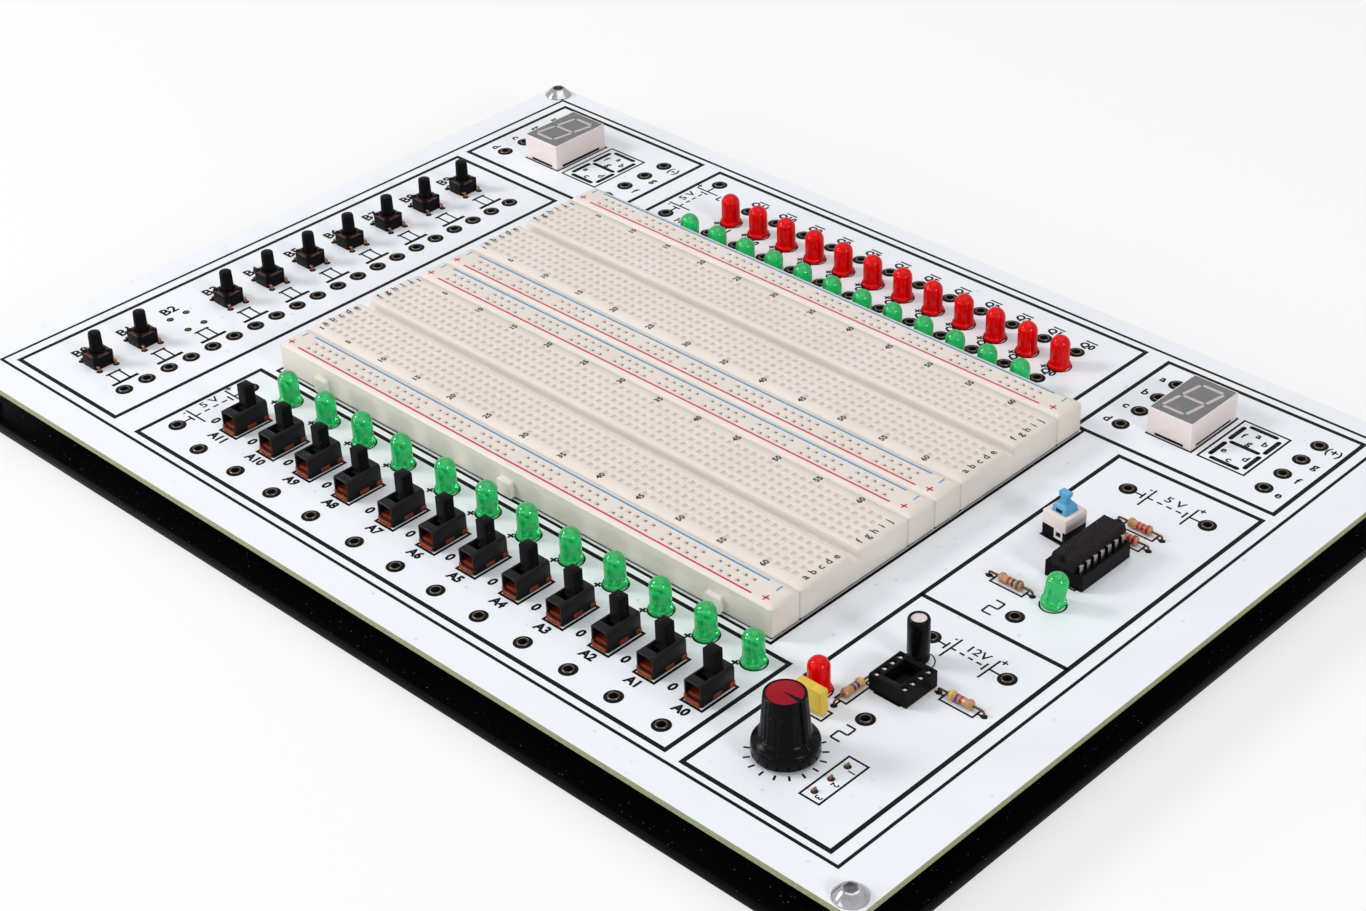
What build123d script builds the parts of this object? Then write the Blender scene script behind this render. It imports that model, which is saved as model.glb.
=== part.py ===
"""Breadboard electronics trainer: a white printed board on four standoffs over a black plate.

Millimetres, +X along the breadboards' numbering, +Y towards the lamp row, +Z up.
The origin is the bottom centre of the base plate.
"""

import math
import os

from build123d import *

# Plates, standoffs and their fasteners
BOARD_LENGTH = 300.0
BOARD_WIDTH = 209.0
CORNER_RADIUS = 3.0
PLATE_THICKNESS = 3.0
STANDOFF_HEIGHT = 10.0
BOARD_THICKNESS = 1.6
ROUND_SIDES = 16
SMALL_SIDES = 8
SCREW_INSET_X = 4.6
SCREW_INSET_Y = 4.1
SCREW_SHANK = 4.0
SCREW_REACH = 4.2
SCREW_HOLE_PLAY = 0.4
THREAD_PLAY = 0.1
STANDOFF_FLATS = 7.0
BUTTON_HEAD = 7.6
BUTTON_HEAD_CROWN = 3.8
BUTTON_HEAD_HEIGHT = 2.2
SINK_HEAD = 8.0
SINK_DEPTH = 2.2

# Centre of the printed layout, seen from the middle of the board
PRINT_X = -1.6
PRINT_Y = 1.3

# Breadboards: two of them side by side, each with two bus strips and one terminal strip
BREADBOARD_LENGTH = 165.1
BREADBOARD_WIDTH = 54.4
BREADBOARD_HEIGHT = 8.1
BREADBOARD_X = 0.4
BREADBOARD_Y = 0.45
BUS_WIDTH = 9.2
STRIP_SEAM = 0.1
PAD_THICKNESS = 0.4
PAD_INSET = 0.3
CHANNEL_WIDTH = 2.9
CHANNEL_DEPTH = 2.6
TAB_WIDTH = 5.0
TAB_REACH = 1.3
TAB_HEIGHT = 4.4
TAB_NARROWING = 0.5
TAB_SPACING = 66.2
TAB_PLAY = 0.15
BREADBOARD_EDGE = 0.6
BREADBOARDS_NEAR = BREADBOARD_Y - BREADBOARD_WIDTH
BREADBOARDS_FAR = BREADBOARD_Y + BREADBOARD_WIDTH

# Eyelet sockets for the jumper wires
SOCKET_SIDES = 6
SOCKET_OUTER = 2.9
SOCKET_BORE = 2.1
SOCKET_HEIGHT = 0.4

# Push buttons in a row along Y
BUTTON_X = -120.1
BUTTON_FIRST_Y = -81.9
BUTTON_PITCH = 13.55
BUTTON_PLACES = 10
BUTTON_BARE_PLACE = 2
BUTTON_BODY = 6.0
BUTTON_HEIGHT = 3.5
BUTTON_PLATE = 0.3
BUTTON_WELL = 5.0
BUTTON_WELL_DEPTH = 1.3
BUTTON_PLAY = 0.15
BUTTON_SIDES = 8
PLUNGER_FOOT = 4.4
PLUNGER_FOOT_HEIGHT = 0.5
PLUNGER_NECK = 3.5
PLUNGER_TIP = 3.2
PLUNGER_TOP = 9.0
PLUNGER_CHAMFER = 0.3
PLUNGER_GAP = 0.1
BUTTON_LEG_WIDTH = 0.7
BUTTON_LEG_X = 3.75
BUTTON_LEG_Y = 2.5
BUTTON_LEG_SHOULDER = 1.1
BARE_HOLE = 1.1
BUTTON_SOCKET_X = -104.85
BUTTON_SOCKET_FIRST_Y = -85.3
BUTTON_SOCKET_PITCH = BUTTON_PITCH / 2

# Slide switches in a row along X, each with a lamp behind and a socket in front
SWITCH_X = [-69.4, -55.3, -41.8, -27.6, -12.1, 2.0, 15.5, 29.5, 43.5, 57.5, 71.1, 85.0]
SWITCH_LAMP_GAP = 7.75
SWITCH_STEP = 13.5
SWITCH_SOCKET_STEP = 14.3
SWITCH_LAMP_Y = BREADBOARDS_NEAR - SWITCH_LAMP_GAP
SWITCH_Y = SWITCH_LAMP_Y - SWITCH_STEP
SWITCH_SOCKET_Y = SWITCH_Y - SWITCH_SOCKET_STEP
COVER_WIDTH = 5.0
COVER_LENGTH = 10.0
COVER_TOP = 5.6
COVER_WALL = 0.5
COVER_ROOF = 0.6
COVER_EDGE = 0.5
SLOT_WIDTH = 3.3
SLOT_LENGTH = 5.6
BASE_THICKNESS = 1.2
BASE_LIP = 0.4
BASE_STEP = 1.0
LEVER_WIDTH = 3.1
LEVER_LENGTH = 2.9
LEVER_TOP = 11.0
LEVER_TRAVEL = 2.5
LEVER_FOOT_WIDTH = 3.7
LEVER_FOOT_LENGTH = 3.9
LEVER_GAP = 0.1

# Lamps of 5 mm in rows along X
LAMP_SIDES = 7
LAMP_DIAMETER = 5.0
LAMP_FLANGE = 5.8
LAMP_FLANGE_HEIGHT = 1.0
LAMP_HEIGHT = 8.7
LAMP_DOME_STEPS = 2
LAMP_DOME_ANGLE = 72.0
LAMP_ROW_COUNT = 12
LAMP_ROW_FIRST_X = -51.4
LAMP_ROW_PITCH = 10.16
RED_ROW_SHIFT = 0.7
GREEN_ROW_GAP = 5.15
NEAR_SOCKET_STEP = 7.0
RED_ROW_STEP = 15.2
FAR_SOCKET_STEP = 23.0
GREEN_ROW_Y = BREADBOARDS_FAR + GREEN_ROW_GAP
NEAR_SOCKET_Y = GREEN_ROW_Y + NEAR_SOCKET_STEP
RED_ROW_Y = GREEN_ROW_Y + RED_ROW_STEP
FAR_SOCKET_Y = GREEN_ROW_Y + FAR_SOCKET_STEP
CLOCK_LAMP = (101.45, -59.6)
PULSE_LAMP = (119.9, -4.1)
PULSE_LAMP_LEAN_X = 9.4
PULSE_LAMP_LEAN_Y = 2.0

# Seven segment displays
DISPLAY_WIDTH = 12.6
DISPLAY_LENGTH = 19.0
DISPLAY_HEIGHT = 7.4
DISPLAY_FACE = 0.6
DISPLAY_RIM = 0.35
DISPLAY_CUT = 0.9
DISPLAY_FOOT = 2.2
DISPLAYS = [(-115.0, 74.8), (101.2, 74.4)]

# Push switch of the pulse circuit
PUSH_SWITCH = (105.5, 18.6)
PUSH_TURN = -5.0
PUSH_SIZE = 7.0
PUSH_BASE_HEIGHT = 3.3
PUSH_HOUSING_TOP = 6.8
PUSH_TONGUE_WIDTH = 2.6
PUSH_TONGUE_X = 1.3
PUSH_TONGUE_REACH = 0.5
PUSH_TONGUE_HEIGHT = 2.5
PUSH_TONGUE_RIM = 0.6
PUSH_GAP = 0.15
PUSH_TRAVEL = 2.0
PUSH_BLOCK = 4.0
PUSH_BLOCK_TOP = 8.9
PUSH_NECK = 1.9
PUSH_TIP_FOOT = 10.5
PUSH_TIP = (2.8, 1.9)
PUSH_TIP_TOP = 11.6

# Chip sockets, and the chip in the longer one
PIN_PITCH = 2.54
CHIP_ROW = 3.81
CHIP_SOCKET_WIDTH = 10.16
CHIP_SOCKET_HEIGHT = 4.2
CHIP_SOCKET_BAR = 2.7
CHIP_SOCKET_END = 1.6
CHIP_SOCKET_POCKET = (1.2, 1.6)
CHIP_SOCKET_POCKET_DEPTH = 2.2
CHIP_SOCKETS = [(116.85, 12.3), (114.0, -47.4)]
PIN_COUNTS = [7, 4]
CHIP_WIDTH = 6.35
CHIP_LENGTH = 19.3
CHIP_THICKNESS = 3.2
CHIP_LIFT = 0.3
CHIP_DRAFT = 0.35
CHIP_NOTCH = 0.9
CHIP_LEG_WIDTH = 1.2
CHIP_LEG_THICKNESS = 0.3
CHIP_LEG_DEPTH = 1.8

# Resistors: centre, and whether they lie along X
RESISTOR_SIDES = 6
RESISTOR_LENGTH = 6.2
RESISTOR_END = 2.3
RESISTOR_WAIST = 1.9
RESISTOR_END_LENGTH = 1.4
RESISTOR_Z = 1.2
RESISTOR_REACH = 6.0
LEAD_THICKNESS = 0.5
RESISTORS = [
    (117.65, 30.9, True),
    (117.65, 25.7, True),
    (108.75, -4.7, True),
    (107.2, -55.4, False),
    (126.55, -43.7, True),
]

# Capacitors
FILM_CAPACITOR = (104.45, -65.2)
FILM_SIZE = (7.2, 2.4, 6.0)
FILM_LIFT = 0.5
FILM_LEAD_SPACING = 5.0
FILM_EDGE = 0.3
CAN_CAPACITOR = (110.5, -38.3)
CAN_DIAMETER = 5.0
CAN_HEIGHT = 11.0
CAN_LIFT = 0.5
CAN_GROOVE = 0.3
CAN_GROOVE_Z = 1.6
CAN_CRIMP = 0.4
CAN_LEAD_SPACING = 2.0

# Potentiometer under the board, and its knob
KNOB_AXIS = (109.85, -79.0)
POT_DIAMETER = 16.0
POT_HEIGHT = 7.4
BUSHING_DIAMETER = 7.0
BUSHING_HOLE_PLAY = 0.2
BUSHING_TOP = 3.0
NUT_FLATS = 10.0
NUT_HEIGHT = 2.0
SHAFT_DIAMETER = 5.6
SHAFT_TOP = 12.5
SHAFT_SOCKET = 4.0
SHAFT_FLAT = 1.0
RUNNING_PLAY = 0.05
WAFER_REACH = 9.6
WAFER_WIDTH = 12.6
WAFER_THICKNESS = 1.4
TAG_X = 12.15
TAG_FIRST_Y = -4.95
TAG_PITCH = 4.975
TAG_WIDTH = 1.0
TAG_THICKNESS = 0.5
TAG_TOP = 0.9
TAG_HOLE = 1.7
TAG_DROP = 2.0
SKIRT_DIAMETER = 14.4
SKIRT_BOTTOM = 0.8
SKIRT_TOP = 4.3
SKIRT_WALL = 0.9
SKIRT_SLOPE = 0.4
GRIP_FOOT = 10.6
GRIP_FOOT_Z = 5.6
GRIP_TOP = 9.1
KNOB_TOP = 15.6
KNOB_SIDES = 20
KNOB_HOLLOW_TOP = 3.4
FLUTE_DEPTH = 0.2
FLUTE_WIDTH = 0.7
POINTER_WIDTH = 0.9
POINTER_PROUD = 0.35
CAP_DIAMETER = 7.9
CAP_THICKNESS = 1.2
CAP_PLAY = 0.05

# Single sockets of the small circuits
SWITCH_SUPPLY = [(-81.7, SWITCH_Y - 11.3), (-81.9, SWITCH_Y + 10.9)]
LAMP_SUPPLY = [(-68.1, GREEN_ROW_Y + 29.0), (-68.0, GREEN_ROW_Y + 7.5)]
DISPLAY_SOCKET_X = [(-128.6, -87.8), (88.2, 128.9)]
DISPLAY_SOCKET_Y = [63.7, 71.4, 79.2, 86.9]
GENERATOR_SOCKETS = [
    (105.7, 42.7),
    (127.8, 42.6),
    (116.4, -12.9),
    (114.95, -60.4),
    (128.5, -30.9),
    (107.5, -30.3),
]

# Levels that follow from the sizes above
BOARD_UNDERSIDE = PLATE_THICKNESS + STANDOFF_HEIGHT
BOARD_TOP = BOARD_UNDERSIDE + BOARD_THICKNESS
BREADBOARD_FLOOR = BOARD_TOP + PAD_THICKNESS
BREADBOARD_TOP = BREADBOARD_FLOOR + BREADBOARD_HEIGHT

HALF_TURN = 180
FULL_TURN = 360

written = []


def at(x, y, z=0.0):
    """Place in the printed layout: x and y from its centre, z above the board's face."""
    return Pos(PRINT_X + x, PRINT_Y + y, BOARD_TOP + z)


def save(name, *shapes):
    """Write one node as a STEP file: a single solid, or a group of separate ones."""
    solids = [solid for shape in shapes for solid in shape.solids()]
    node = solids[0] if len(solids) == 1 else Compound(children=solids)
    node.label = name
    export_step(node, f"parts/{name}.step")
    written.append((name, len(solids)))


def block(x, y, low, high):
    """Box centred on Z with its faces at the heights low and high."""
    return Pos(0, 0, (low + high) / 2) * Box(x, y, high - low)


def polygon(diameter, sides):
    """Flat outline with its sides the given diameter apart."""
    return RegularPolygon(diameter / 2, sides, major_radius=False, rotation=HALF_TURN / sides)


def prism(diameter, sides, low, high):
    """Upright prism with flat sides the given diameter apart."""
    return Pos(0, 0, low) * extrude(polygon(diameter, sides), high - low)


def frustum(sides, low_width, low, high_width, high):
    """Flat-sided solid between two heights, straight or tapered either way."""
    wide, narrow = max(low_width, high_width), min(low_width, high_width)
    lean = math.degrees(math.atan((wide - narrow) / 2 / (high - low)))
    solid = extrude(polygon(wide, sides), high - low, taper=lean)
    upright = Pos(0, 0, low) * solid
    upturned = Pos(0, 0, high) * Rot(HALF_TURN, 0, 0) * solid
    return upright if wide == low_width else upturned


def faceted(sides, rings):
    """Flat-sided stand-in for a turned solid, from (diameter, height) rings stacked upwards."""
    pairs = [(low, high) for low, high in zip(rings, rings[1:]) if high[1] > low[1]]
    return Part() + [frustum(sides, *low, *high) for low, high in pairs]


def rod(diameter, low, high):
    """Upright cylinder between two heights."""
    return Pos(0, 0, (low + high) / 2) * Cylinder(diameter / 2, high - low)


def screw_places():
    """The four corners where the board is held."""
    x = BOARD_LENGTH / 2 - SCREW_INSET_X
    y = BOARD_WIDTH / 2 - SCREW_INSET_Y
    return [Pos(i * x, j * y, 0) for i in (-1, 1) for j in (-1, 1)]


def plate(thickness, floor):
    """Sheet with the board's outline and rounded corners."""
    outline = RectangleRounded(BOARD_LENGTH, BOARD_WIDTH, CORNER_RADIUS)
    return Pos(0, 0, floor) * extrude(outline, thickness)


def base_plate():
    """Black plate with countersunk holes from below."""
    sink = sunk_rings(PLATE_THICKNESS)
    return plate(PLATE_THICKNESS, 0) - [place * faceted(SMALL_SIDES, sink) for place in screw_places()]


def sunk_rings(top):
    """Rings of a countersunk screw from the plate's underside up to a height."""
    return [(SINK_HEAD, 0), (SCREW_SHANK, SINK_DEPTH), (SCREW_SHANK, top)]


def standoff():
    """Hexagonal post, bored through for a screw from each end."""
    post = prism(STANDOFF_FLATS, 6, PLATE_THICKNESS, BOARD_UNDERSIDE)
    return post - prism(SCREW_SHANK + THREAD_PLAY, SMALL_SIDES, PLATE_THICKNESS, BOARD_UNDERSIDE)


def top_screw():
    """Button head screw through the board into a standoff."""
    return faceted(SMALL_SIDES, [
        (SCREW_SHANK, BOARD_UNDERSIDE - SCREW_REACH),
        (SCREW_SHANK, BOARD_TOP),
        (BUTTON_HEAD, BOARD_TOP),
        (BUTTON_HEAD_CROWN, BOARD_TOP + BUTTON_HEAD_HEIGHT),
    ])


def bottom_screw():
    """Countersunk screw through the base plate into a standoff, flush below."""
    return faceted(SMALL_SIDES, sunk_rings(PLATE_THICKNESS + SCREW_REACH))


def button_places(bare=False):
    """Centres of the push buttons along Y, or of the places left bare."""
    places = range(BUTTON_PLACES)
    chosen = [k for k in places if (k == BUTTON_BARE_PLACE) == bare]
    return [at(BUTTON_X, BUTTON_FIRST_Y + BUTTON_PITCH * k) for k in chosen]


def button_corners():
    """The four legs' places on a push button."""
    return [Pos(i * BUTTON_LEG_X, j * BUTTON_LEG_Y, 0) for i in (-1, 1) for j in (-1, 1)]


def tag_places():
    """The three tags of the potentiometer, in line beside its body."""
    x, y = KNOB_AXIS
    return [at(x + TAG_X, y + TAG_FIRST_Y + TAG_PITCH * k) for k in range(3)]


def circuit_board():
    """White board with holes for the screws, the potentiometer and the bare button place."""
    low = -BOARD_THICKNESS
    screw_hole = prism(SCREW_SHANK + SCREW_HOLE_PLAY, SMALL_SIDES, BOARD_UNDERSIDE, BOARD_TOP)
    bushing_hole = prism(BUSHING_DIAMETER + BUSHING_HOLE_PLAY, ROUND_SIDES, low, 0)
    tag_hole = prism(TAG_HOLE, SOCKET_SIDES, low, 0)
    leg_hole = prism(BARE_HOLE, SOCKET_SIDES, low, 0)
    bare_legs = [place * leg for place in button_places(bare=True) for leg in button_corners()]
    cuts = [place * screw_hole for place in screw_places()]
    cuts += [place * tag_hole for place in tag_places()]
    cuts += [place * leg_hole for place in bare_legs]
    cuts.append(at(*KNOB_AXIS) * bushing_hole)
    return plate(BOARD_THICKNESS, BOARD_UNDERSIDE) - cuts


def breadboard_centres():
    """Middle of each breadboard, the nearer one first."""
    half = BREADBOARD_WIDTH / 2
    x, y = PRINT_X + BREADBOARD_X, PRINT_Y + BREADBOARD_Y
    return [Pos(x, y + side * half, 0) for side in (-1, 1)]


def tab_outline(play):
    """Plan of a joining tab that reaches towards -Y and widens away from its root."""
    root = TAB_WIDTH / 2 - TAB_NARROWING + play
    tip = TAB_WIDTH / 2 + play
    reach = TAB_REACH + play
    return make_face(Polyline([(-root, 0), (-tip, -reach), (tip, -reach), (root, 0)], close=True))


def tabs(height, play=0.0):
    """Row of three joining tabs on the line y = 0."""
    tab = extrude(tab_outline(play), height)
    return [Pos(i * TAB_SPACING, 0, BREADBOARD_FLOOR) * tab for i in (-1, 0, 1)]


def strip(width):
    """Body of a strip: tabs on its -Y side, and slots for the next strip's tabs on +Y."""
    body = block(BREADBOARD_LENGTH, width - STRIP_SEAM, BREADBOARD_FLOOR, BREADBOARD_TOP)
    body = chamfer(body.edges().group_by(Axis.Z)[-1], BREADBOARD_EDGE)
    edge = (width - STRIP_SEAM) / 2
    slots = [Pos(0, edge + STRIP_SEAM, 0) * tab for tab in tabs(TAB_HEIGHT + TAB_PLAY, TAB_PLAY)]
    body = body - slots
    return body + [Pos(0, -edge, 0) * tab for tab in tabs(TAB_HEIGHT)]


def terminal_strip():
    """Strip with the wide channel that a chip straddles."""
    width = BREADBOARD_WIDTH - 2 * BUS_WIDTH
    channel = block(BREADBOARD_LENGTH, CHANNEL_WIDTH, BREADBOARD_TOP - CHANNEL_DEPTH, BREADBOARD_TOP)
    return strip(width) - channel


def breadboards():
    """Write the strips and the foam pads that carry them."""
    offset = (BREADBOARD_WIDTH - BUS_WIDTH) / 2
    pad = block(
        BREADBOARD_LENGTH - 2 * PAD_INSET, BREADBOARD_WIDTH - 2 * PAD_INSET, BOARD_TOP, BREADBOARD_FLOOR
    )
    centres = breadboard_centres()
    terminal, bus = terminal_strip(), strip(BUS_WIDTH)
    save("terminal_strips", *[centre * terminal for centre in centres])
    sides = [Pos(0, side, 0) for side in (-offset, offset)]
    save("bus_strips", *[centre * side * bus for centre in centres for side in sides])
    save("breadboard_pads", *[centre * pad for centre in centres])


def socket():
    """Flange of an eyelet, seated on the board."""
    ring = prism(SOCKET_OUTER, SOCKET_SIDES, 0, SOCKET_HEIGHT)
    return ring - prism(SOCKET_BORE, SOCKET_SIDES, 0, SOCKET_HEIGHT)


def lamp_row_x(k):
    """Place of a lamp's sockets along the back rows."""
    return LAMP_ROW_FIRST_X + LAMP_ROW_PITCH * k


def sockets():
    """Write the eyelets, grouped by the circuit that they serve."""
    eyelet = socket()
    count = 2 * BUTTON_PLACES
    row = [BUTTON_SOCKET_FIRST_Y + BUTTON_SOCKET_PITCH * k for k in range(count)]
    groups = {
        "button_sockets": [(BUTTON_SOCKET_X, y) for y in row],
        "switch_sockets": [(x, SWITCH_SOCKET_Y) for x in SWITCH_X] + SWITCH_SUPPLY,
        "lamp_sockets": [
            (lamp_row_x(k), y) for k in range(LAMP_ROW_COUNT) for y in (FAR_SOCKET_Y, NEAR_SOCKET_Y)
        ] + LAMP_SUPPLY,
        "display_sockets": [(x, y) for pair in DISPLAY_SOCKET_X for x in pair for y in DISPLAY_SOCKET_Y],
        "generator_sockets": GENERATOR_SOCKETS,
    }
    for name, places in groups.items():
        save(name, *[at(x, y) * eyelet for x, y in places])


def lamp():
    """Round lamp with a flange, a straight barrel and a domed end."""
    radius = LAMP_DIAMETER / 2
    centre = LAMP_HEIGHT - radius
    angles = [math.radians(LAMP_DOME_ANGLE * k / LAMP_DOME_STEPS) for k in range(LAMP_DOME_STEPS + 1)]
    flange = [(LAMP_FLANGE, 0), (LAMP_FLANGE, LAMP_FLANGE_HEIGHT), (LAMP_DIAMETER, LAMP_FLANGE_HEIGHT)]
    dome = [(2 * radius * math.cos(a), centre + radius * math.sin(a)) for a in angles]
    return faceted(LAMP_SIDES, flange + dome)


def lamps():
    """Write the rows of lamps and the two single ones."""
    lens = lamp()
    row = [lamp_row_x(k) for k in range(LAMP_ROW_COUNT)]
    leans = (PULSE_LAMP_LEAN_X, PULSE_LAMP_LEAN_Y)
    lift = LAMP_FLANGE / 2 * sum(math.sin(math.radians(lean)) for lean in leans)
    leaning = at(*PULSE_LAMP, lift) * Rot(PULSE_LAMP_LEAN_Y, PULSE_LAMP_LEAN_X, 0) * lens
    save("switch_lamps", *[at(x, SWITCH_LAMP_Y) * lens for x in SWITCH_X])
    save("red_lamps", *[at(x + RED_ROW_SHIFT, RED_ROW_Y) * lens for x in row], at(*CLOCK_LAMP) * lens)
    save("green_lamps", *[at(x, GREEN_ROW_Y) * lens for x in row], leaning)


def slide_base():
    """Phenolic base of a slide switch, with lips at its ends and a step under the lever."""
    sheet = block(COVER_WIDTH, COVER_LENGTH + 2 * BASE_LIP, 0, BASE_THICKNESS)
    inner_width = COVER_WIDTH - 2 * COVER_WALL
    inner_length = COVER_LENGTH - 2 * COVER_WALL
    return sheet + block(inner_width, inner_length, BASE_THICKNESS, BASE_THICKNESS + BASE_STEP)


def slide_cover():
    """Black cover: a slotted channel, open at its -Y end."""
    half = COVER_WIDTH / 2
    profile = Polyline([
        (-half, 0, BASE_THICKNESS),
        (-half, 0, COVER_TOP - COVER_EDGE),
        (-half + COVER_EDGE, 0, COVER_TOP),
        (half - COVER_EDGE, 0, COVER_TOP),
        (half, 0, COVER_TOP - COVER_EDGE),
        (half, 0, BASE_THICKNESS),
    ], close=True)
    shell = extrude(make_face(profile), COVER_LENGTH / 2, both=True)
    inner = block(
        COVER_WIDTH - 2 * COVER_WALL, COVER_LENGTH, BASE_THICKNESS, COVER_TOP - COVER_ROOF
    )
    slot = block(SLOT_WIDTH, SLOT_LENGTH, COVER_TOP - COVER_ROOF, COVER_TOP)
    return shell - Pos(0, -COVER_WALL, 0) * inner - slot


def slide_lever():
    """Lever at its rest end, with a foot that the cover keeps in."""
    foot_low = BASE_THICKNESS + BASE_STEP + LEVER_GAP
    foot_high = COVER_TOP - COVER_ROOF - LEVER_GAP
    foot = block(LEVER_FOOT_WIDTH, LEVER_FOOT_LENGTH, foot_low, foot_high)
    stem = block(LEVER_WIDTH, LEVER_LENGTH, foot_high, LEVER_TOP)
    return Pos(0, LEVER_TRAVEL / 2, 0) * (foot + stem)


def slide_switches():
    """Write the covers and bases as groups, and each lever by itself."""
    base, cover, lever = slide_base(), slide_cover(), slide_lever()
    save("slide_switch_bases", *[at(x, SWITCH_Y) * base for x in SWITCH_X])
    save("slide_switch_covers", *[at(x, SWITCH_Y) * cover for x in SWITCH_X])
    for k, x in enumerate(reversed(SWITCH_X)):
        save(f"slide_lever_{k}", at(x, SWITCH_Y) * lever)


def button_well_floor():
    """Height of the floor of a push button's well."""
    return BUTTON_HEIGHT - BUTTON_PLATE - BUTTON_WELL_DEPTH


def button_base():
    """Moulded body of a push button, with a well for the plunger's foot."""
    top = BUTTON_HEIGHT - BUTTON_PLATE
    well = prism(BUTTON_WELL, BUTTON_SIDES, button_well_floor(), top)
    return block(BUTTON_BODY, BUTTON_BODY, 0, top) - well


def button_plate():
    """Thin plate that keeps the plunger in."""
    low = BUTTON_HEIGHT - BUTTON_PLATE
    hole = prism(PLUNGER_NECK + 2 * BUTTON_PLAY, BUTTON_SIDES, low, BUTTON_HEIGHT)
    return block(BUTTON_BODY, BUTTON_BODY, low, BUTTON_HEIGHT) - hole


def button_plunger():
    """Plunger with a foot under the plate and a slightly tapered stem."""
    foot_high = BUTTON_HEIGHT - BUTTON_PLATE - PLUNGER_GAP
    return faceted(BUTTON_SIDES, [
        (PLUNGER_FOOT, foot_high - PLUNGER_FOOT_HEIGHT),
        (PLUNGER_FOOT, foot_high),
        (PLUNGER_NECK, foot_high),
        (PLUNGER_TIP, PLUNGER_TOP - PLUNGER_CHAMFER),
        (PLUNGER_TIP - 2 * PLUNGER_CHAMFER, PLUNGER_TOP),
    ])


def button_leg():
    """Flat leg down to the board, against the body's +X side."""
    reach = BUTTON_LEG_X - BUTTON_BODY / 2
    bar = block(reach, BUTTON_LEG_WIDTH, 0, BUTTON_LEG_SHOULDER)
    return Pos(BUTTON_BODY / 2 + reach / 2, 0, 0) * bar


def push_buttons():
    """Write bodies, plates and legs as groups, and each plunger by itself."""
    base, top, plunger, leg = button_base(), button_plate(), button_plunger(), button_leg()
    turns = (0, HALF_TURN)
    legs = [Pos(0, j * BUTTON_LEG_Y, 0) * Rot(0, 0, turn) * leg for j in (-1, 1) for turn in turns]
    places = button_places()
    save("button_bases", *[place * base for place in places])
    save("button_plates", *[place * top for place in places])
    save("button_legs", *[place * one for place in places for one in legs])
    labels = [k for k in range(BUTTON_PLACES) if k != BUTTON_BARE_PLACE]
    for k, place in zip(labels, places):
        save(f"button_plunger_{k}", place * plunger)


def display_housing():
    """Housing with feet at its corners and a shallow tray for the face."""
    body = block(DISPLAY_WIDTH, DISPLAY_LENGTH, 0, DISPLAY_HEIGHT)
    tray_x = DISPLAY_WIDTH - 2 * DISPLAY_RIM
    tray_y = DISPLAY_LENGTH - 2 * DISPLAY_RIM
    tray = block(tray_x, tray_y, DISPLAY_HEIGHT - DISPLAY_FACE, DISPLAY_HEIGHT)
    cut_x = block(DISPLAY_WIDTH, DISPLAY_LENGTH - 2 * DISPLAY_FOOT, 0, DISPLAY_CUT)
    cut_y = block(DISPLAY_WIDTH - 2 * DISPLAY_FOOT, DISPLAY_LENGTH, 0, DISPLAY_CUT)
    return body - tray - cut_x - cut_y


def display_face():
    """Printed face that fills the tray."""
    x = DISPLAY_WIDTH - 2 * DISPLAY_RIM
    y = DISPLAY_LENGTH - 2 * DISPLAY_RIM
    return block(x, y, DISPLAY_HEIGHT - DISPLAY_FACE, DISPLAY_HEIGHT)


def displays():
    """Write the two displays."""
    housing, face = display_housing(), display_face()
    save("display_housings", *[at(x, y) * housing for x, y in DISPLAYS])
    save("display_faces", *[at(x, y) * face for x, y in DISPLAYS])


def push_switch():
    """Write the latching push switch of the pulse circuit."""
    place = at(*PUSH_SWITCH) * Rot(0, 0, PUSH_TURN)
    well = PUSH_BLOCK + 2 * PUSH_GAP
    housing = block(PUSH_SIZE, PUSH_SIZE, PUSH_BASE_HEIGHT, PUSH_HOUSING_TOP)
    housing -= block(well, well, PUSH_BASE_HEIGHT, PUSH_HOUSING_TOP)
    spot = Pos(PUSH_TONGUE_X, -(PUSH_SIZE - PUSH_TONGUE_REACH) / 2, 0)
    tongue_low = PUSH_BASE_HEIGHT - PUSH_TONGUE_HEIGHT
    tongue = block(PUSH_TONGUE_WIDTH, PUSH_TONGUE_REACH, tongue_low, PUSH_BASE_HEIGHT)
    window_x = PUSH_TONGUE_WIDTH - 2 * PUSH_TONGUE_RIM
    window = block(
        window_x, PUSH_TONGUE_REACH, tongue_low + PUSH_TONGUE_RIM, PUSH_BASE_HEIGHT - PUSH_TONGUE_RIM
    )
    housing += spot * (tongue - window)
    base = block(PUSH_SIZE, PUSH_SIZE, 0, PUSH_BASE_HEIGHT) - spot * tongue
    foot = PUSH_BASE_HEIGHT + PUSH_TRAVEL + PUSH_GAP
    plunger = block(PUSH_BLOCK, PUSH_BLOCK, foot, PUSH_BLOCK_TOP)
    plunger += block(PUSH_NECK, PUSH_NECK, PUSH_BLOCK_TOP, PUSH_TIP_FOOT)
    plunger += block(PUSH_TIP[0], PUSH_TIP[1], PUSH_TIP_FOOT, PUSH_TIP_TOP)
    save("push_switch_base", place * base)
    save("push_switch_housing", place * housing)
    save("push_switch_plunger", place * plunger)


def pin_rows(per_side):
    """Places of a chip's pins: two rows along Y."""
    first = -PIN_PITCH * (per_side - 1) / 2
    return [(side, first + PIN_PITCH * k) for side in (-1, 1) for k in range(per_side)]


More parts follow.
